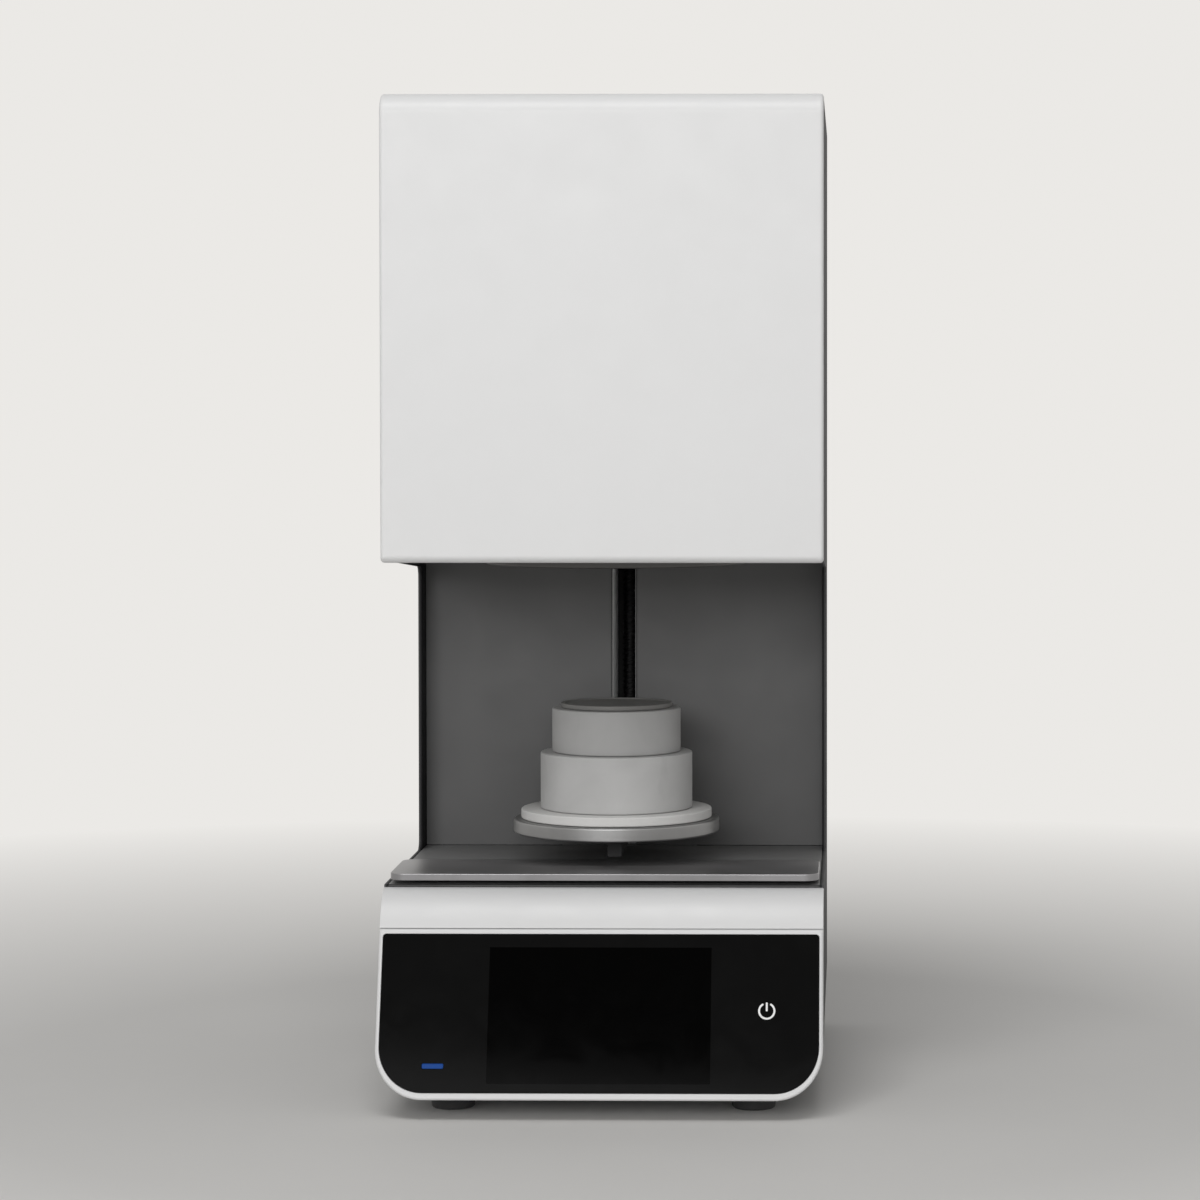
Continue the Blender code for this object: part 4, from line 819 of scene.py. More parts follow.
# Painted shade: this steel is near black so that the parts seen through the slot stay as dark as
# its shade.
metal("black_steel", (0.06, 0.06, 0.061), 0.62, (1200, 1200, 300), 0.000008)
metal("bright_steel", (0.68, 0.68, 0.69), 0.2, (1500, 1500, 90), 0.000006)
zinc("zinc_steel", (0.55, 0.56, 0.575), 0.4)
metal("aluminium", (0.66, 0.67, 0.68), 0.36, (60, 1300, 1300), 0.000012)
metal("bronze", (0.52, 0.35, 0.16), 0.34, (900, 900, 1600), 0.00001)
fibre("insulation", (0.66, 0.655, 0.64), (0.42, 0.39, 0.35), 0.00016)
ceramic("grey_ceramic", (0.415, 0.413, 0.408), 0.82)
# Painted light: a lighter copy of the plug ceramic for the lower plug, which sits less in the
# housing's shade.
ceramic("lower_ceramic_painted_light", (0.50, 0.498, 0.492), 0.82)
ceramic("dense_ceramic", (0.20, 0.197, 0.19), 0.6)
ceramic("silicon_carbide", (0.045, 0.045, 0.05), 0.5)
plastic("black_plastic", (0.016, 0.016, 0.017), 0.46, 1600, 0.00004)
plastic("black_rubber", (0.05, 0.05, 0.05), 0.78, 1100, 0.00005)
plastic("motor_black", (0.02, 0.02, 0.021), 0.55, 700, 0.0001)
glowing("blue_light", (0.003, 0.034, 0.16), (0.002, 0.026, 0.13), 0.7)
# Painted light: the white print glows a little, though it is no lamp.
glowing("white_print_painted_glow", (0.70, 0.70, 0.70), (0.65, 0.65, 0.65), 0.25)
board("green_board")

for node, thing in frame["nodes"].items():
    for material_slot in thing.material_slots:
        material_slot.material = finishes[slot_of[node]]


# ---- Housing


def front_line(height, depth):
    """Give the place of the leaning front face at a height, at a depth behind it."""
    return glass_low.y + lean * (height - glass_low.z) + depth


def leaning(outline, depths):
    """Loft an outline of (x, height) points through depths behind the leaning face."""
    return loft([leaning_ring(outline, depth) for depth in depths])


def leaning_ring(outline, depth):
    """Put an outline of (x, height) points at a depth behind the leaning face."""
    return [(x, front_line(z, depth), z) for x, z in outline]


def cover_line(inset, reach=0.0):
    """Give the cover's line in the side view, inset from its outer face."""
    corners = [
        (hem_depth - front_reach + reach, ceiling_height + inset, 0),
        (inset - front_reach, ceiling_height + inset, hem_radius - inset),
        (inset - front_reach, cabinet_height - inset, cover_bend - inset),
        (rear_reach + reach, cabinet_height - inset, 0),
    ]
    return rounded(corners, bend_steps)


def cover_band(inset, back, reach):
    """Give the band between two insets of the cover, rounded where it folds back at the sides."""
    bend = cover_side_bend - inset
    half = []
    for turn in quarter:
        line = cover_line(inset + bend * (1 - sin(turn)), reach)
        x = half_width - inset - bend * (1 - cos(turn))
        half.append((x, line + cover_line(back, reach)[::-1]))
    rows = half + [(-x, line) for x, line in half[::-1]]
    return loft([[(x, y, z) for y, z in line] for x, line in rows])


inside = cover_band(cover_sheet, cover_lip + overrun, overrun)
piece("cover", cover_band(0, cover_lip, 0), "upper_cover", [("DIFFERENCE", inside)], soft_edge)


def side_outline():
    """Give the C-shaped outline of a side panel, seen from the side."""
    tuck = cover_lip + seam
    low = floor_clearance - overrun
    high = cabinet_height - tuck
    hem_rear = hem_depth + seam - front_reach
    bay_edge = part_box("bay_wall")[0].y - bay_edge_lead
    corners = [
        (front_line(low, moulding_depth + seam), low, 0),
        (rear_reach, low, 0),
        (rear_reach, high, 0),
        (tuck - front_reach, high, cover_bend - tuck),
        (tuck - front_reach, ceiling_height + tuck, hem_radius - tuck),
        (hem_rear, ceiling_height + tuck, 0),
        (hem_rear, ceiling_height + cover_sheet + seam, 0),
        (bay_edge, ceiling_height - bay_edge_drop, bay_fillet),
        (bay_edge, deck_height, bay_fillet),
        (front_line(deck_height, moulding_depth + seam), deck_height, 0),
    ]
    return rounded(corners, bend_steps)


def side_section(side):
    """Give a side panel's section in the front view, as seen along the cabinet."""
    path = []
    for inset in (0, side_sheet):
        reach = half_width - inset
        low = floor_clearance + inset
        corners = [
            (reach, cabinet_height, 0),
            (reach, low, base_corner - inset),
            (half_width - base_corner - side_flange, low, 0),
        ]
        points = rounded(corners, bend_steps)
        path.extend(points if inset == 0 else points[::-1])
    return [(side * x, z) for x, z in path]


for name, side in (("left_side", -1), ("right_side", 1)):
    inner_reach = half_width - base_corner - side_flange - overrun
    ends = sorted((side * inner_reach, side * (half_width + overrun)))
    body = prism(side_section(side), "Y", front_line(0, 0), rear_reach + overrun)
    outline = prism(side_outline(), "X", *ends)
    piece(name, body, name + "_panel", [("INTERSECT", outline)], soft_edge, "side_paint_with_painted_shade")


# ---- Base front


def frame_outline(inset, drop, rise):
    """Give the glass frame's outline in the front view, inset at the sides, on top and below."""
    upper = max(glass_corner - glass_shelf / 2 + inset / 2, least_corner)
    low, high = floor_clearance + rise, seam_height - drop
    return shield(half_width - inset, low, high, base_corner - inset, upper)


def bezel_steps():
    """Give the frame's insets and depths, over its rim, into the glass pocket and out behind."""
    pocket = (glass_margin - seam, glass_top_margin - seam, glass_bottom_margin - seam)
    lip = tuple(margin - pocket_edge for margin in pocket)
    shelf = tuple(margin + seam + glass_shelf for margin in pocket)
    wall = (moulding_wall,) * 3
    pocket_floor = glass_thickness + seam
    shelf_rear = pocket_floor + glass_shelf_thickness
    steps = [(0.0, 0.0, 0.0, moulding_depth)]
    for turn in quarter:
        inset = bezel_edge * (1 - cos(turn))
        drop = moulding_edge * (1 - cos(turn))
        steps.append((inset, drop, inset, bezel_edge * (1 - sin(turn))))
    steps += [(*lip, 0.0), (*pocket, pocket_edge), (*pocket, pocket_floor), (*shelf, pocket_floor)]
    return steps + [(*shelf, shelf_rear), (*wall, shelf_rear), (*wall, moulding_depth)]


rings = [leaning_ring(frame_outline(*insets), depth) for *insets, depth in bezel_steps()]
piece("bezel", loft(rings, looped=True), "base_bezel")


def brow_curve():
    """Give the brow's front curve in the side view, from the deck down to the leaning face."""
    low = seam_height + seam
    rise = brow_top - seam_height
    end_height = low + rise * brow_end_share
    top = Vector((front_line(brow_top, moulding_depth), brow_top))
    bottom = Vector((front_line(seam_height, 0), low))
    first = Vector((top.x - rise * brow_start_share, brow_top))
    second = Vector((front_line(end_height, 0), end_height))
    points = []
    for step in range(small_steps + 1):
        share = step / small_steps
        rest = 1 - share
        upper = top * rest**3 + first * 3 * rest**2 * share
        points.append(tuple(upper + second * 3 * rest * share**2 + bottom * share**3))
    return points


low = seam_height + seam
brow_outline = brow_curve() + [(front_line(low, moulding_depth), low)]
hollow_outline = [
    (front_line(low, moulding_wall), low + moulding_wall),
    (front_line(low, moulding_depth) + overrun, low + moulding_wall),
    (front_line(brow_top, moulding_depth) + overrun, brow_top - moulding_wall),
    (front_line(brow_top, moulding_depth), brow_top - moulding_wall),
]
reach = half_width - moulding_wall
hollow = prism(hollow_outline, "X", -reach, reach)
brow = prism(brow_outline, "X", -half_width, half_width)
piece("brow", brow, "base_brow", [("DIFFERENCE", hollow)], moulding_edge)


def glass_outline(inset):
    """Give the glass's outline in the front view, inset from its edge."""
    reach = half_width - glass_margin - inset
    lower = base_corner - glass_margin - inset
    return shield(reach, glass_low.z + inset, glass_high.z - inset, lower, glass_corner - inset)


chamfer = glass_edge * 0.3
rim = ((0, glass_thickness), (0, glass_edge), (chamfer, chamfer), (glass_edge, 0))
glass = loft([leaning_ring(glass_outline(inset), depth) for inset, depth in rim])
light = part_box("status_light")
opening = framed(light, "xz", light_flange - seam, light_opening_corner, corner_steps)
opening = leaning(opening, (-overrun, glass_thickness + overrun))
piece("glass", glass, "front_glass", [("DIFFERENCE", opening)])
bar = framed(light, "xz", light_flange, light_corner, corner_steps)
piece("status_bar", leaning(bar, (0, light[1].y - light[0].y)), "status_light", edge=fine_edge)


# ---- Power symbol

key_centre = centre("power_key_pad")
upright = 1 / hypot(1, lean)


def stroke(points):
    """Give a flat stroke with round ends about the key's centre, raised a film above the glass."""
    left = []
    right = []
    for index, point in enumerate(points):
        ahead = points[min(index + 1, len(points) - 1)] - points[max(index - 1, 0)]
        across = Vector((-ahead.y, ahead.x)).normalized() * symbol_stroke / 2
        left.append(point + across)
        right.append(point - across)
    ends = []
    for end, tip in ((points[-1], points[-1] - points[-2]), (points[0], points[0] - points[1])):
        start = atan2(tip.y, tip.x) + pi / 2
        arc = [start - pi * step / corner_steps for step in range(1, corner_steps)]
        ends.append([end + Vector((cos(turn), sin(turn))) * symbol_stroke / 2 for turn in arc])
    outline = left + ends[0] + right[::-1] + ends[1]
    outline = [(key_centre.x + a, key_centre.z + b * upright) for a, b in outline]
    return leaning(outline, (-symbol_film, symbol_root))


arc = []
for step in range(round_steps // 2 + 1):
    turn = pi / 2 + symbol_gap + (tau - symbol_gap * 2) * step / (round_steps // 2)
    arc.append(Vector((cos(turn), sin(turn))) * symbol_radius)
bar = [Vector((0, symbol_radius * share)) for share in symbol_bar_share]
symbol = gathered([stroke(arc), stroke(bar)])
piece("power_symbol", symbol, "front_glass", look="white_print_painted_glow", stands_for=False)


# ---- Platform

# Each disc's name, node, rounding, wobble and look
for name, node, edge, wobble, look in (
    ("disc", "platform_disc", 0.0018, 0.0, None),
    ("fibre_pad", "fibre_disc", 0.0013, 0.0003, None),
    ("lower_plug", "plug_lower", 0.0014, 0.0003, "lower_ceramic_painted_light"),
    ("upper_plug", "plug_upper", 0.0014, 0.0003, None),
):
    low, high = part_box(node)
    profile = disc_profile(high.x * (1 - 2 * wobble), low.z, high.z, edge)
    piece(name, turned(profile, wobble=wobble), node, look=look)

low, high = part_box("sample_plate")
rim = high.x - (high.z - low.z)
plate_profile = [
    (0, low.z, 0),
    (high.x, low.z, plate_round),
    (high.x, high.z, plate_round),
    (rim, high.z, plate_fillet),
    (rim - plate_dish, high.z - plate_dish, plate_fillet),
    (0, high.z - plate_dish, 0),
]
piece("plate", turned(rounded(plate_profile)), "sample_plate")

low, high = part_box("throat_ring")
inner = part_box("fibre_disc")[1].x + ring_gap
ring_profile = [
    (inner, low.z, ring_round),
    (high.x, low.z, ring_round),
    (high.x, high.z, ring_back_round),
    (inner, high.z, ring_round),
]
piece("ring", turned(rounded(ring_profile)), "throat_ring")


# ---- Tray

low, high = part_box("tray")
skirt = low.z + tray_lift


def tray_ring(inset, height):
    """Give one ring of the tray's shell."""
    corner = max(tray_corner - inset, least_corner)
    outline = framed(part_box("tray"), "xy", inset, corner, bend_steps)
    return [(x, y, height) for x, y in outline]


inner_edge = tray_edge * 0.4
rings = [
    tray_ring(tray_sheet + inner_edge, high.z - tray_sheet),
    tray_ring(tray_sheet, high.z - tray_sheet - inner_edge),
    tray_ring(tray_sheet, skirt + pocket_edge),
    tray_ring(tray_sheet - pocket_edge, skirt),
    tray_ring(pocket_edge, skirt),
    tray_ring(0, skirt + pocket_edge),
]
for turn in quarter:
    height = high.z - tray_edge * (1 - sin(turn))
    rings.append(tray_ring(tray_edge * (1 - cos(turn)), height))
piece("tray_top", loft(rings), "tray")
profile = disc_profile(tray_pad_radius, low.z, high.z - tray_sheet, tray_pad_round)
pads = []
for x in (low.x + tray_pad_margin, high.x - tray_pad_margin):
    for y in (low.y + tray_pad_margin, high.y - tray_pad_margin):
        pads.append(turned(profile, (x, y, 0), steps=small_steps))
piece("tray_pads", gathered(pads), "tray", slot="black_rubber", stands_for=False)


# ---- Feet

for name in ("foot_front_left", "foot_front_right", "foot_rear_left", "foot_rear_right"):
    low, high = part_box(name)
    x, y, _ = centre(name)
    radius = (high.x - low.x) / 2
    reach, height, edge = foot_dish
    profile = [(0, height, 0), (radius * reach, height, edge)]
    profile += [(radius * a, high.z * b, edge) for a, b, edge in foot_profile] + [(0, high.z, 0)]
    foot = turned(rounded(profile), (x, y, 0), steps=round_steps // 2)
    piece(name + "_turned", foot, name)


# ---- Rear

fan_centre = centre("fan_guard")
fittings = (("inlet", "power_inlet", inlet_body), ("switch", "main_switch", switch_body))
low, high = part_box("rear_panel")
openings = [circle(0, fan_centre.z, fan_bore)]
for side in (-1, 1):
    for row in range(vent_rows):
        middle = (side * vent_reach, vent_height + row * vent_pitch + vent_size[1] / 2)
        openings.append(centred(middle, vent_size, vent_size[1] * slot_round, corner_steps))
for _, node, (wide, tall) in fittings:
    x, _, z = centre(node)
    openings.append(centred((x, z), (wide + 2 * seam, tall + 2 * seam), fitting_corner))
corner = base_corner - (half_width - high.x)
sheet = prism(shield(high.x, low.z, high.z, corner, panel_corner), "Y", low.y, high.y)
piece("rear_sheet", sheet, "rear_panel", [cut("Y", low.y, high.y, *openings)], fine_edge)
columns = (-rear_screw_reach, rear_screw_reach)
places = [(x, high.y, height) for x in columns for height in rear_screw_heights]
screws("rear_screws", "rear_panel", places, "Y", 1)

low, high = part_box("fan_guard")
wire = (high.y - low.y) / 2
level = (high.y + low.y) / 2
hoops = []
for number in range(guard_hoops):
    hoop = circle(fan_duct - wire - guard_ring_gap * number, level, wire, wire_steps)
    hoops.append(turned(hoop, (0, 0, fan_centre.z), "Y"))
spokes = []
for turn in turns(guard_spoke_count):
    turn += pi / guard_spoke_count
    a, b = cos(turn), sin(turn)
    ends = [(a * reach, level, fan_centre.z + b * reach) for reach in (fan_hub, guard_spokes)]
    spokes.append(rod(*ends, wire, wire_steps))
piece("guard", gathered(hoops), "fan_guard", [("UNION", gathered(spokes))])


# ---- Loading bay

low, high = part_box("base_deck")
section = [
    (low.y, low.z, 0),
    (low.y, high.z, deck_bend),
    (high.y, high.z, deck_bend),
    (high.y, low.z, 0),
    (high.y - cover_sheet, low.z, 0),
    (high.y - cover_sheet, high.z - cover_sheet, deck_bend - cover_sheet),
    (low.y + cover_sheet, high.z - cover_sheet, deck_bend - cover_sheet),
    (low.y + cover_sheet, low.z, 0),
]
deck = prism(rounded(section, corner_steps), "X", low.x, high.x)
piece("deck", deck, "base_deck", (), thin_edge, "deck_paint_painted_light_and_shade", angle=wide_angle)

low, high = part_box("bay_wall")
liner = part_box("slot_liner")
ring_low, ring_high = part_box("throat_ring")
opening = framed(liner, "xz", -seam, liner_opening_corner)
ring_room = prism(circle(0, 0, ring_high.x + seam), "Z", ring_low.z - seam, high.z + overrun)
steps = [cut("Y", low.y, high.y, opening), ("DIFFERENCE", ring_room)]
wall = prism(framed((low, high), "xz"), "Y", low.y, high.y)
piece("wall", wall, "bay_wall", steps, fine_edge)
low, high = liner
tube = prism(framed(liner, "xz", 0, liner_corner), "Y", low.y, high.y)
inner = framed(liner, "xz", liner_sheet, liner_corner - liner_sheet)
piece("liner", tube, "slot_liner", [cut("Y", low.y, high.y, inner)], thin_edge, "liner_paint_with_painted_light")

low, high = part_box("chamber_pan")
inner_y, inner_z = high.y - chamber_pan_sheet, low.z + chamber_pan_sheet
section = [
    (low.y, low.z, 0),
    (high.y, low.z, chamber_pan_bend),
    (high.y, high.z, 0),
    (inner_y, high.z, 0),
    (inner_y, inner_z, chamber_pan_bend - chamber_pan_sheet),
    (low.y, inner_z, 0),
]
opening = cut("Z", low.z, inner_z, circle(0, 0, throat_boss_radius + seam))
pan = prism(rounded(section, corner_steps), "X", low.x, high.x)
piece("housing_floor", pan, "chamber_pan", [opening], fine_edge)
columns, rows = floor_screw_places
screws("floor_screws", "chamber_pan", [(x, y, low.z) for x in columns for y in rows], "Z", -1)

low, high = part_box("lift_arm")
bar_top = high.z - arm_head_thickness
bar = rectangle(-arm_reach, arm_reach, low.z, bar_top + seam, arm_corner)
head = turned(disc_profile(high.x, bar_top, high.z, arm_corner))
arm = prism(bar, "Y", arm_front, high.y)
piece("arm", arm, "lift_arm", [("UNION", head)], soft_edge, angle=wide_angle)

low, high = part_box("bottom_pan")
slots = []
for number in range(intake_count):
    middle = (intake_pitch * (number - (intake_count - 1) / 2), 0)
    slots.append(centred(middle, intake_size, intake_size[0] * slot_round, corner_steps))
pan = prism(framed((low, high), "xy"), "Z", low.z, high.z)
piece("underside", pan, "bottom_pan", [cut("Z", low.z, high.z, *slots)], fine_edge)


# ---- Fan

low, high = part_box("fan_frame")
flange = framed((low, high), "xz", 0, fan_corner, corner_steps)
ends = ((low.y, low.y + fan_flange), (high.y - fan_flange, high.y))
flanges = gathered([prism(flange, "Y", *pair) for pair in ends])
duct = prism(circle(0, fan_centre.z, fan_duct), "Y", low.y + seam / 2, high.y - seam / 2)
holes = [circle(0, fan_centre.z, fan_bore)]
for x in (-fan_holes, fan_holes):
    for z in (-fan_holes, fan_holes):
        holes.append(circle(x, fan_centre.z + z, fan_hole_radius, bend_steps))
strut_rear = low.y + fan_strut[1]
boss = prism(circle(0, fan_centre.z, fan_hub), "Y", low.y, strut_rear)
steps = [("UNION", duct), cut("Y", low.y, high.y, *holes), ("UNION", boss)]
for turn in turns(fan_struts):
    along = Vector((cos(turn), sin(turn)))
    side = Vector((-along.y, along.x)) * fan_strut[0] / 2
    near = Vector((0, fan_centre.z)) + along * fan_hub / 2
    far = Vector((0, fan_centre.z)) + along * (fan_bore + fan_duct) / 2
    strut = [near - side, far - side, far + side, near + side]
    steps.append(("UNION", prism(strut, "Y", low.y + seam, strut_rear - seam)))
axle = circle(0, fan_centre.z, fan_axle, bend_steps)
steps.append(("UNION", prism(axle, "Y", low.y + seam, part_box("fan_rotor")[1].y)))
piece("fan_housing", flanges, "fan_frame", steps, fine_edge)


def fan_blade(start):
    """Give one twisted blade, as rings of its section from inside the hub out to the tip."""
    rings = []
    root = fan_hub * blade_root
    for station in range(blade_stations + 1):
        share = station / blade_stations
        radius = root + (blade_reach - root) * share
        pitch = blade_pitch[0] + (blade_pitch[1] - blade_pitch[0]) * share
        half_chord = blade_span / sin(pitch) / 2
        section = []
        for step in range(2 * blade_steps):
            place = cos(pi * step / blade_steps)
            roundness = sqrt(max(0.0, 1 - place**2))
            half = blade_thickness / 2 * (blade_lip + (1 - blade_lip) * roundness)
            bend = blade_camber * (1 - place**2) + (half if step < blade_steps else -half)
            along = half_chord * place
            level = rotor_middle + along * sin(pitch) - bend * cos(pitch)
            turn = start + (along * cos(pitch) + bend * sin(pitch)) / radius
            section.append((radius * cos(turn), level, fan_centre.z + radius * sin(turn)))
        rings.append(section)
    blade = loft(rings)
    bmesh.ops.triangulate(blade, faces=[face for face in blade.faces if len(face.verts) > 4])
    if blade.calc_volume(signed=True) < 0:
        bmesh.ops.reverse_faces(blade, faces=blade.faces)
    return blade


low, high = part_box("fan_rotor")
rotor_middle = (low.y + high.y) / 2
bore = fan_axle + seam
lower, upper = hub_edges
hub = [(bore, low.y, 0), (fan_hub, low.y, lower), (fan_hub, high.y, upper), (bore, high.y, 0)]
hub = turned(rounded(hub, corner_steps), (0, 0, fan_centre.z), "Y")
blades = [fan_blade(turn) for turn in turns(blade_count)]
piece("rotor", hub, "fan_rotor", [("UNION", gathered(blades))])


# ---- Mains fittings

panel_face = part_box("rear_panel")[1].y
for name, node, size in fittings:
    low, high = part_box(node)
    x, _, z = centre(node)
    flange = framed((low, high), "xz", 0, flange_corner)
    body = centred((x, z), size, fitting_corner)
    steps = [("UNION", prism(body, "Y", low.y, panel_face + seam * 2))]
    if node == "power_inlet":
        wide, tall = inlet_socket
        corners = [(x - wide, z + tall), (x - wide, z - tall * inlet_cut[1])]
        corners.append((x - wide * inlet_cut[0], z - tall))
        corners += [(2 * x - a, b) for a, b in corners[::-1]]
        socket = rounded([(a, b, fitting_corner) for a, b in corners])
        floor = high.y - inlet_depth
        steps.append(("DIFFERENCE", prism(socket, "Y", floor, high.y + overrun)))
        wide, tall = inlet_pin
        for a, b in inlet_pins:
            pin = centred((x + a, z + b - wide), (2 * wide, 2 * tall), inlet_pin_corner)
            steps.append(("UNION", prism(pin, "Y", floor - wide, high.y - inlet_pin_recess)))
    else:
        wide, tall = (length - 2 * switch_wall for length in size)
        pocket = centred((x, z), (wide, tall), switch_pocket_corner)
        steps.append(("DIFFERENCE", prism(pocket, "Y", low.y + switch_wall, high.y + overrun)))
        reach = (wide + switch_wall) / 2 + seam
        bore = circle(high.y - rocker_drop, z, rocker_axle + seam, bend_steps)
        steps.append(("DIFFERENCE", prism(bore, "X", x - reach, x + reach)))
    flange = prism(flange, "Y", panel_face + seam, high.y)
    piece(name, flange, node, steps, thin_edge, angle=wide_angle)
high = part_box("power_inlet")[1]
middle = centre("power_inlet")
reach = (high.x - middle.x + inlet_body[0] / 2) / 2
places = [(middle.x + side * reach, high.y, middle.z) for side in (-1, 1)]
screws("inlet_screws", "power_inlet", places, "Y", 1, inlet_screw)

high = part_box("main_switch")[1]
middle = centre("main_switch")
pivot = high.y - rocker_drop
half_rise = switch_body[1] / 2 - switch_wall - rocker_out[1] / 2
half_wide = switch_body[0] / 2 - switch_wall - seam


def tipped(out, up):
    """Give the place of a point on the rocker in the side view, with the rocker at rest."""
    tilt_cos, tilt_sin = cos(rocker_tilt), sin(rocker_tilt)
    return pivot + out * tilt_cos + up * tilt_sin, middle.z + up * tilt_cos - out * tilt_sin


def dished(up):
    """Give how far the rocker's hollow face stands out at a height."""
    return rocker_out[0] + (rocker_out[1] - rocker_out[0]) * (up / half_rise) ** 2


face = [half_rise * step / bend_steps for step in range(-bend_steps, bend_steps + 1)]
outline = [tipped(dished(up), up) for up in face]
outline = [tipped(-rocker_body, -half_rise), *outline, tipped(-rocker_body, half_rise)]
body = prism(outline, "X", middle.x - half_wide, middle.x + half_wide)
reach = half_wide + seam + switch_wall / 2
axle = circle(pivot, middle.z, rocker_axle, bend_steps)
axle = prism(axle, "X", middle.x - reach, middle.x + reach)
piece("rocker", body, "switch_rocker", [("UNION", axle)], fine_edge, angle=wide_angle)


def mark(points, film):
    """Give the places of a mark's outline on the rocker's face."""
    places = []
    for a, up in points:
        y, z = tipped(dished(up) + film, up)
        places.append((middle.x + a, y, z))
    return places


line = rectangle(*rocker_line, rocker_line_corner)
wide_ring, small_ring = (circle(0, rocker_ring_height, r, small_steps) for r in rocker_ring_radii)
marks = [loft([mark(line, -rocker_film), mark(line, rocker_film)])]
rings = [mark(wide_ring, -rocker_film), mark(wide_ring, rocker_film), mark(small_ring, rocker_film)]
marks.append(loft(rings + [mark(small_ring, -rocker_film)], looped=True))
piece("rocker_marks", gathered(marks), "switch_rocker", look="white_print_painted_glow", stands_for=False)


# ---- Chamber

low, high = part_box("throat_insulation")
board_low = low.z + throat_boss_drop
board_shape = prism(framed((low, high), "xy", 0, board_corner), "Z", board_low, high.z)
boss = prism(circle(0, 0, throat_boss_radius), "Z", low.z, board_low + overrun)
steps = [("UNION", boss), cut("Z", low.z, high.z, circle(0, 0, throat_radius))]
piece("throat_board", board_shape, "throat_insulation", steps, board_edge)
low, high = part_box("wall_insulation")
board_shape = prism(framed((low, high), "xy", 0, board_corner), "Z", low.z, high.z)
chamber = cut("Z", low.z, high.z, circle(0, 0, chamber_radius))
piece("chamber_board", board_shape, "wall_insulation", [chamber], board_edge)
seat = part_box("terminal_plate")[1].z + seam
for number in range(1, 5):
    node = f"heating_rod_{number}"
    low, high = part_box(node)
    x, y, _ = centre(node)
    collar = (high.x - low.x) / 2
    tip, foot, top = heater_edges
    profile = [
        (0, low.z, 0),
        (heater_radius, low.z, tip),
        (heater_radius, seat, 0),
        (collar, seat, foot),
        (collar, seat + heater_collar, top),
        (heater_radius, seat + heater_collar, 0),
        (heater_radius, high.z, tip),
        (0, high.z, 0),
    ]
    heater = turned(rounded(profile), (x, y, 0), steps=small_steps)
    piece(f"heater_{number}", heater, node)


# ---- Lead screw


def thread(low, high, radius, axis_y):
    """Give a length of screw thread with several starts, run out to the core at both ends."""
    profile_count = len(thread_shares)
    lead_rows = profile_count * screw_starts
    pitch = screw_lead / screw_starts
    rows = ceil((high - low + screw_lead) / pitch) * profile_count + lead_rows + 1
    shape = bmesh.new()
    points = []
    for row in range(rows):
        whole, index = divmod(row, profile_count)
        start = low - screw_lead + pitch * (whole + thread_shares[index])
        line = []
        for column in range(small_steps):
            height = min(max(start + screw_lead * column / small_steps, low), high)
            run_out = min(1.0, (height - low) / pitch, (high - height) / pitch)
            reach = radius - thread_depth * (1 - (run_out if index < 2 else 0))
            turn = tau * column / small_steps
            place = (reach * cos(turn), axis_y + reach * sin(turn), height)
            line.append(shape.verts.new(place))
        points.append(line)
    for row, line in enumerate(points):
        if row + lead_rows < rows:
            line.append(points[row + lead_rows][0])
    for row in range(rows - lead_rows - 1):
        near, far = points[row], points[row + 1]
        for column in range(small_steps):
            shape.faces.new((near[column], near[column + 1], far[column + 1], far[column]))
    bmesh.ops.remove_doubles(shape, verts=shape.verts, dist=1e-6)
    loose = [vertex for vertex in shape.verts if not vertex.link_faces]
    bmesh.ops.delete(shape, geom=loose, context="VERTS")
    bmesh.ops.holes_fill(shape, edges=[edge for edge in shape.edges if edge.is_boundary])
    bmesh.ops.recalc_face_normals(shape, faces=shape.faces)
    return shape


low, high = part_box("lead_screw")
middle = centre("lead_screw")
start, stop = thread_length
ends = []
for span in ((low.z, start + pocket_edge), (stop - pocket_edge, high.z)):
    profile = disc_profile(high.x, *span, seam)
    ends.append(turned(profile, (0, middle.y, 0), steps=small_steps))
screw = thread(start, stop, high.x, middle.y)
piece("screw", screw, "lead_screw", [("UNION", gathered(ends))], angle=thread_angle)


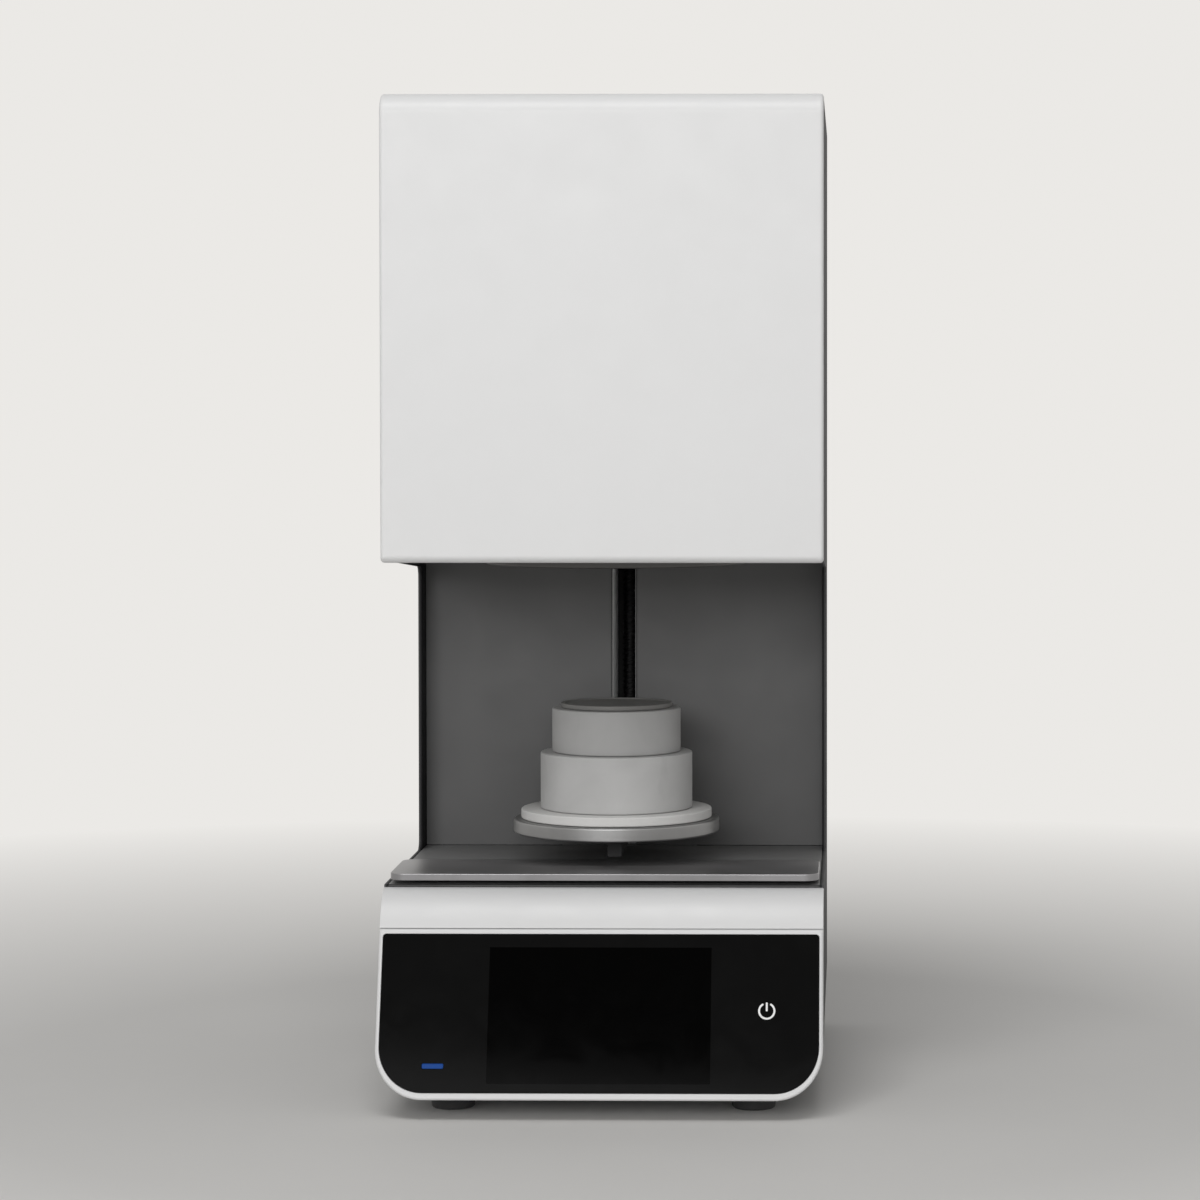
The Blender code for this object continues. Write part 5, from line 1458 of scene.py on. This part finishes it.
# ---- Studio


def softbox(name, place, size, level):
    """Add a soft lamp that adds a level to a white face turned to it at the object's place."""
    lamp = bpy.data.lights.new(name, "AREA")
    lamp.shape = "RECTANGLE"
    lamp.size, lamp.size_y = size
    way = Vector(lamp_target) - Vector(place)
    lamp.energy = level * pi**2 * way.length**2
    thing = added(name, lamp)
    thing.location = place
    thing.visible_camera = False
    thing.rotation_euler = way.to_track_quat("-Z", "Y").to_euler()


softbox("front", (-0.85, -5.2, 1.7), (3.6, 1.5), 0.33)
softbox("key", (-0.5, -3.2, 5.0), (3.2, 1.8), 0.32)

world = bpy.data.worlds.new("studio")
world.use_nodes = True
bpy.context.scene.world = world
sky = Graph(world.node_tree)
light = sky.tree.nodes["Background"]
light.inputs["Color"].default_value = (1, 1, 1, 1)
light.inputs["Strength"].default_value = sky_light
pale = sky.node("Background", {"Color": backdrop_colour}, 0)
sky.mix_out(sky.background_rays(), light.outputs[0], pale, "World Output")

ground = Finish("ground")
distance = ground.node("VectorMath", {0: ground.place}, "Value", operation="LENGTH")
far = ground.span(distance, 0, 1, *floor_fade)
speckle = ground.blend(ground.noise(12, 4), tone(floor_colour, 0.99), tone(floor_colour, 1.01))
ground.done(Base_Color=speckle, Roughness=0.7, Specular_IOR_Level=0.1)
glow = ground.node("Emission", {"Color": backdrop_colour}, 0)
share = ground.calculate("MULTIPLY", far, ground.background_rays())
ground.mix_out(share, ground.shader.outputs[0], glow, "Material Output")
floor_shape = bmesh.new()
floor_shape.faces.new([floor_shape.verts.new((x, y, 0)) for x, y in circle(0, 0, floor_reach)])
floor = loose_object("floor", floor_shape)
floor.data.materials.append(ground.material)

camera = added("camera", bpy.data.cameras.new("camera"))
camera.location = camera_place
camera.rotation_euler = (pi / 2 - camera_pitch, 0, camera_yaw)
camera.data.lens = camera_lens
camera.data.sensor_width = camera_sensor
camera.data.shift_x, camera.data.shift_y = camera_shift
bpy.context.scene.camera = camera
bpy.context.scene.view_settings.view_transform = "Standard"
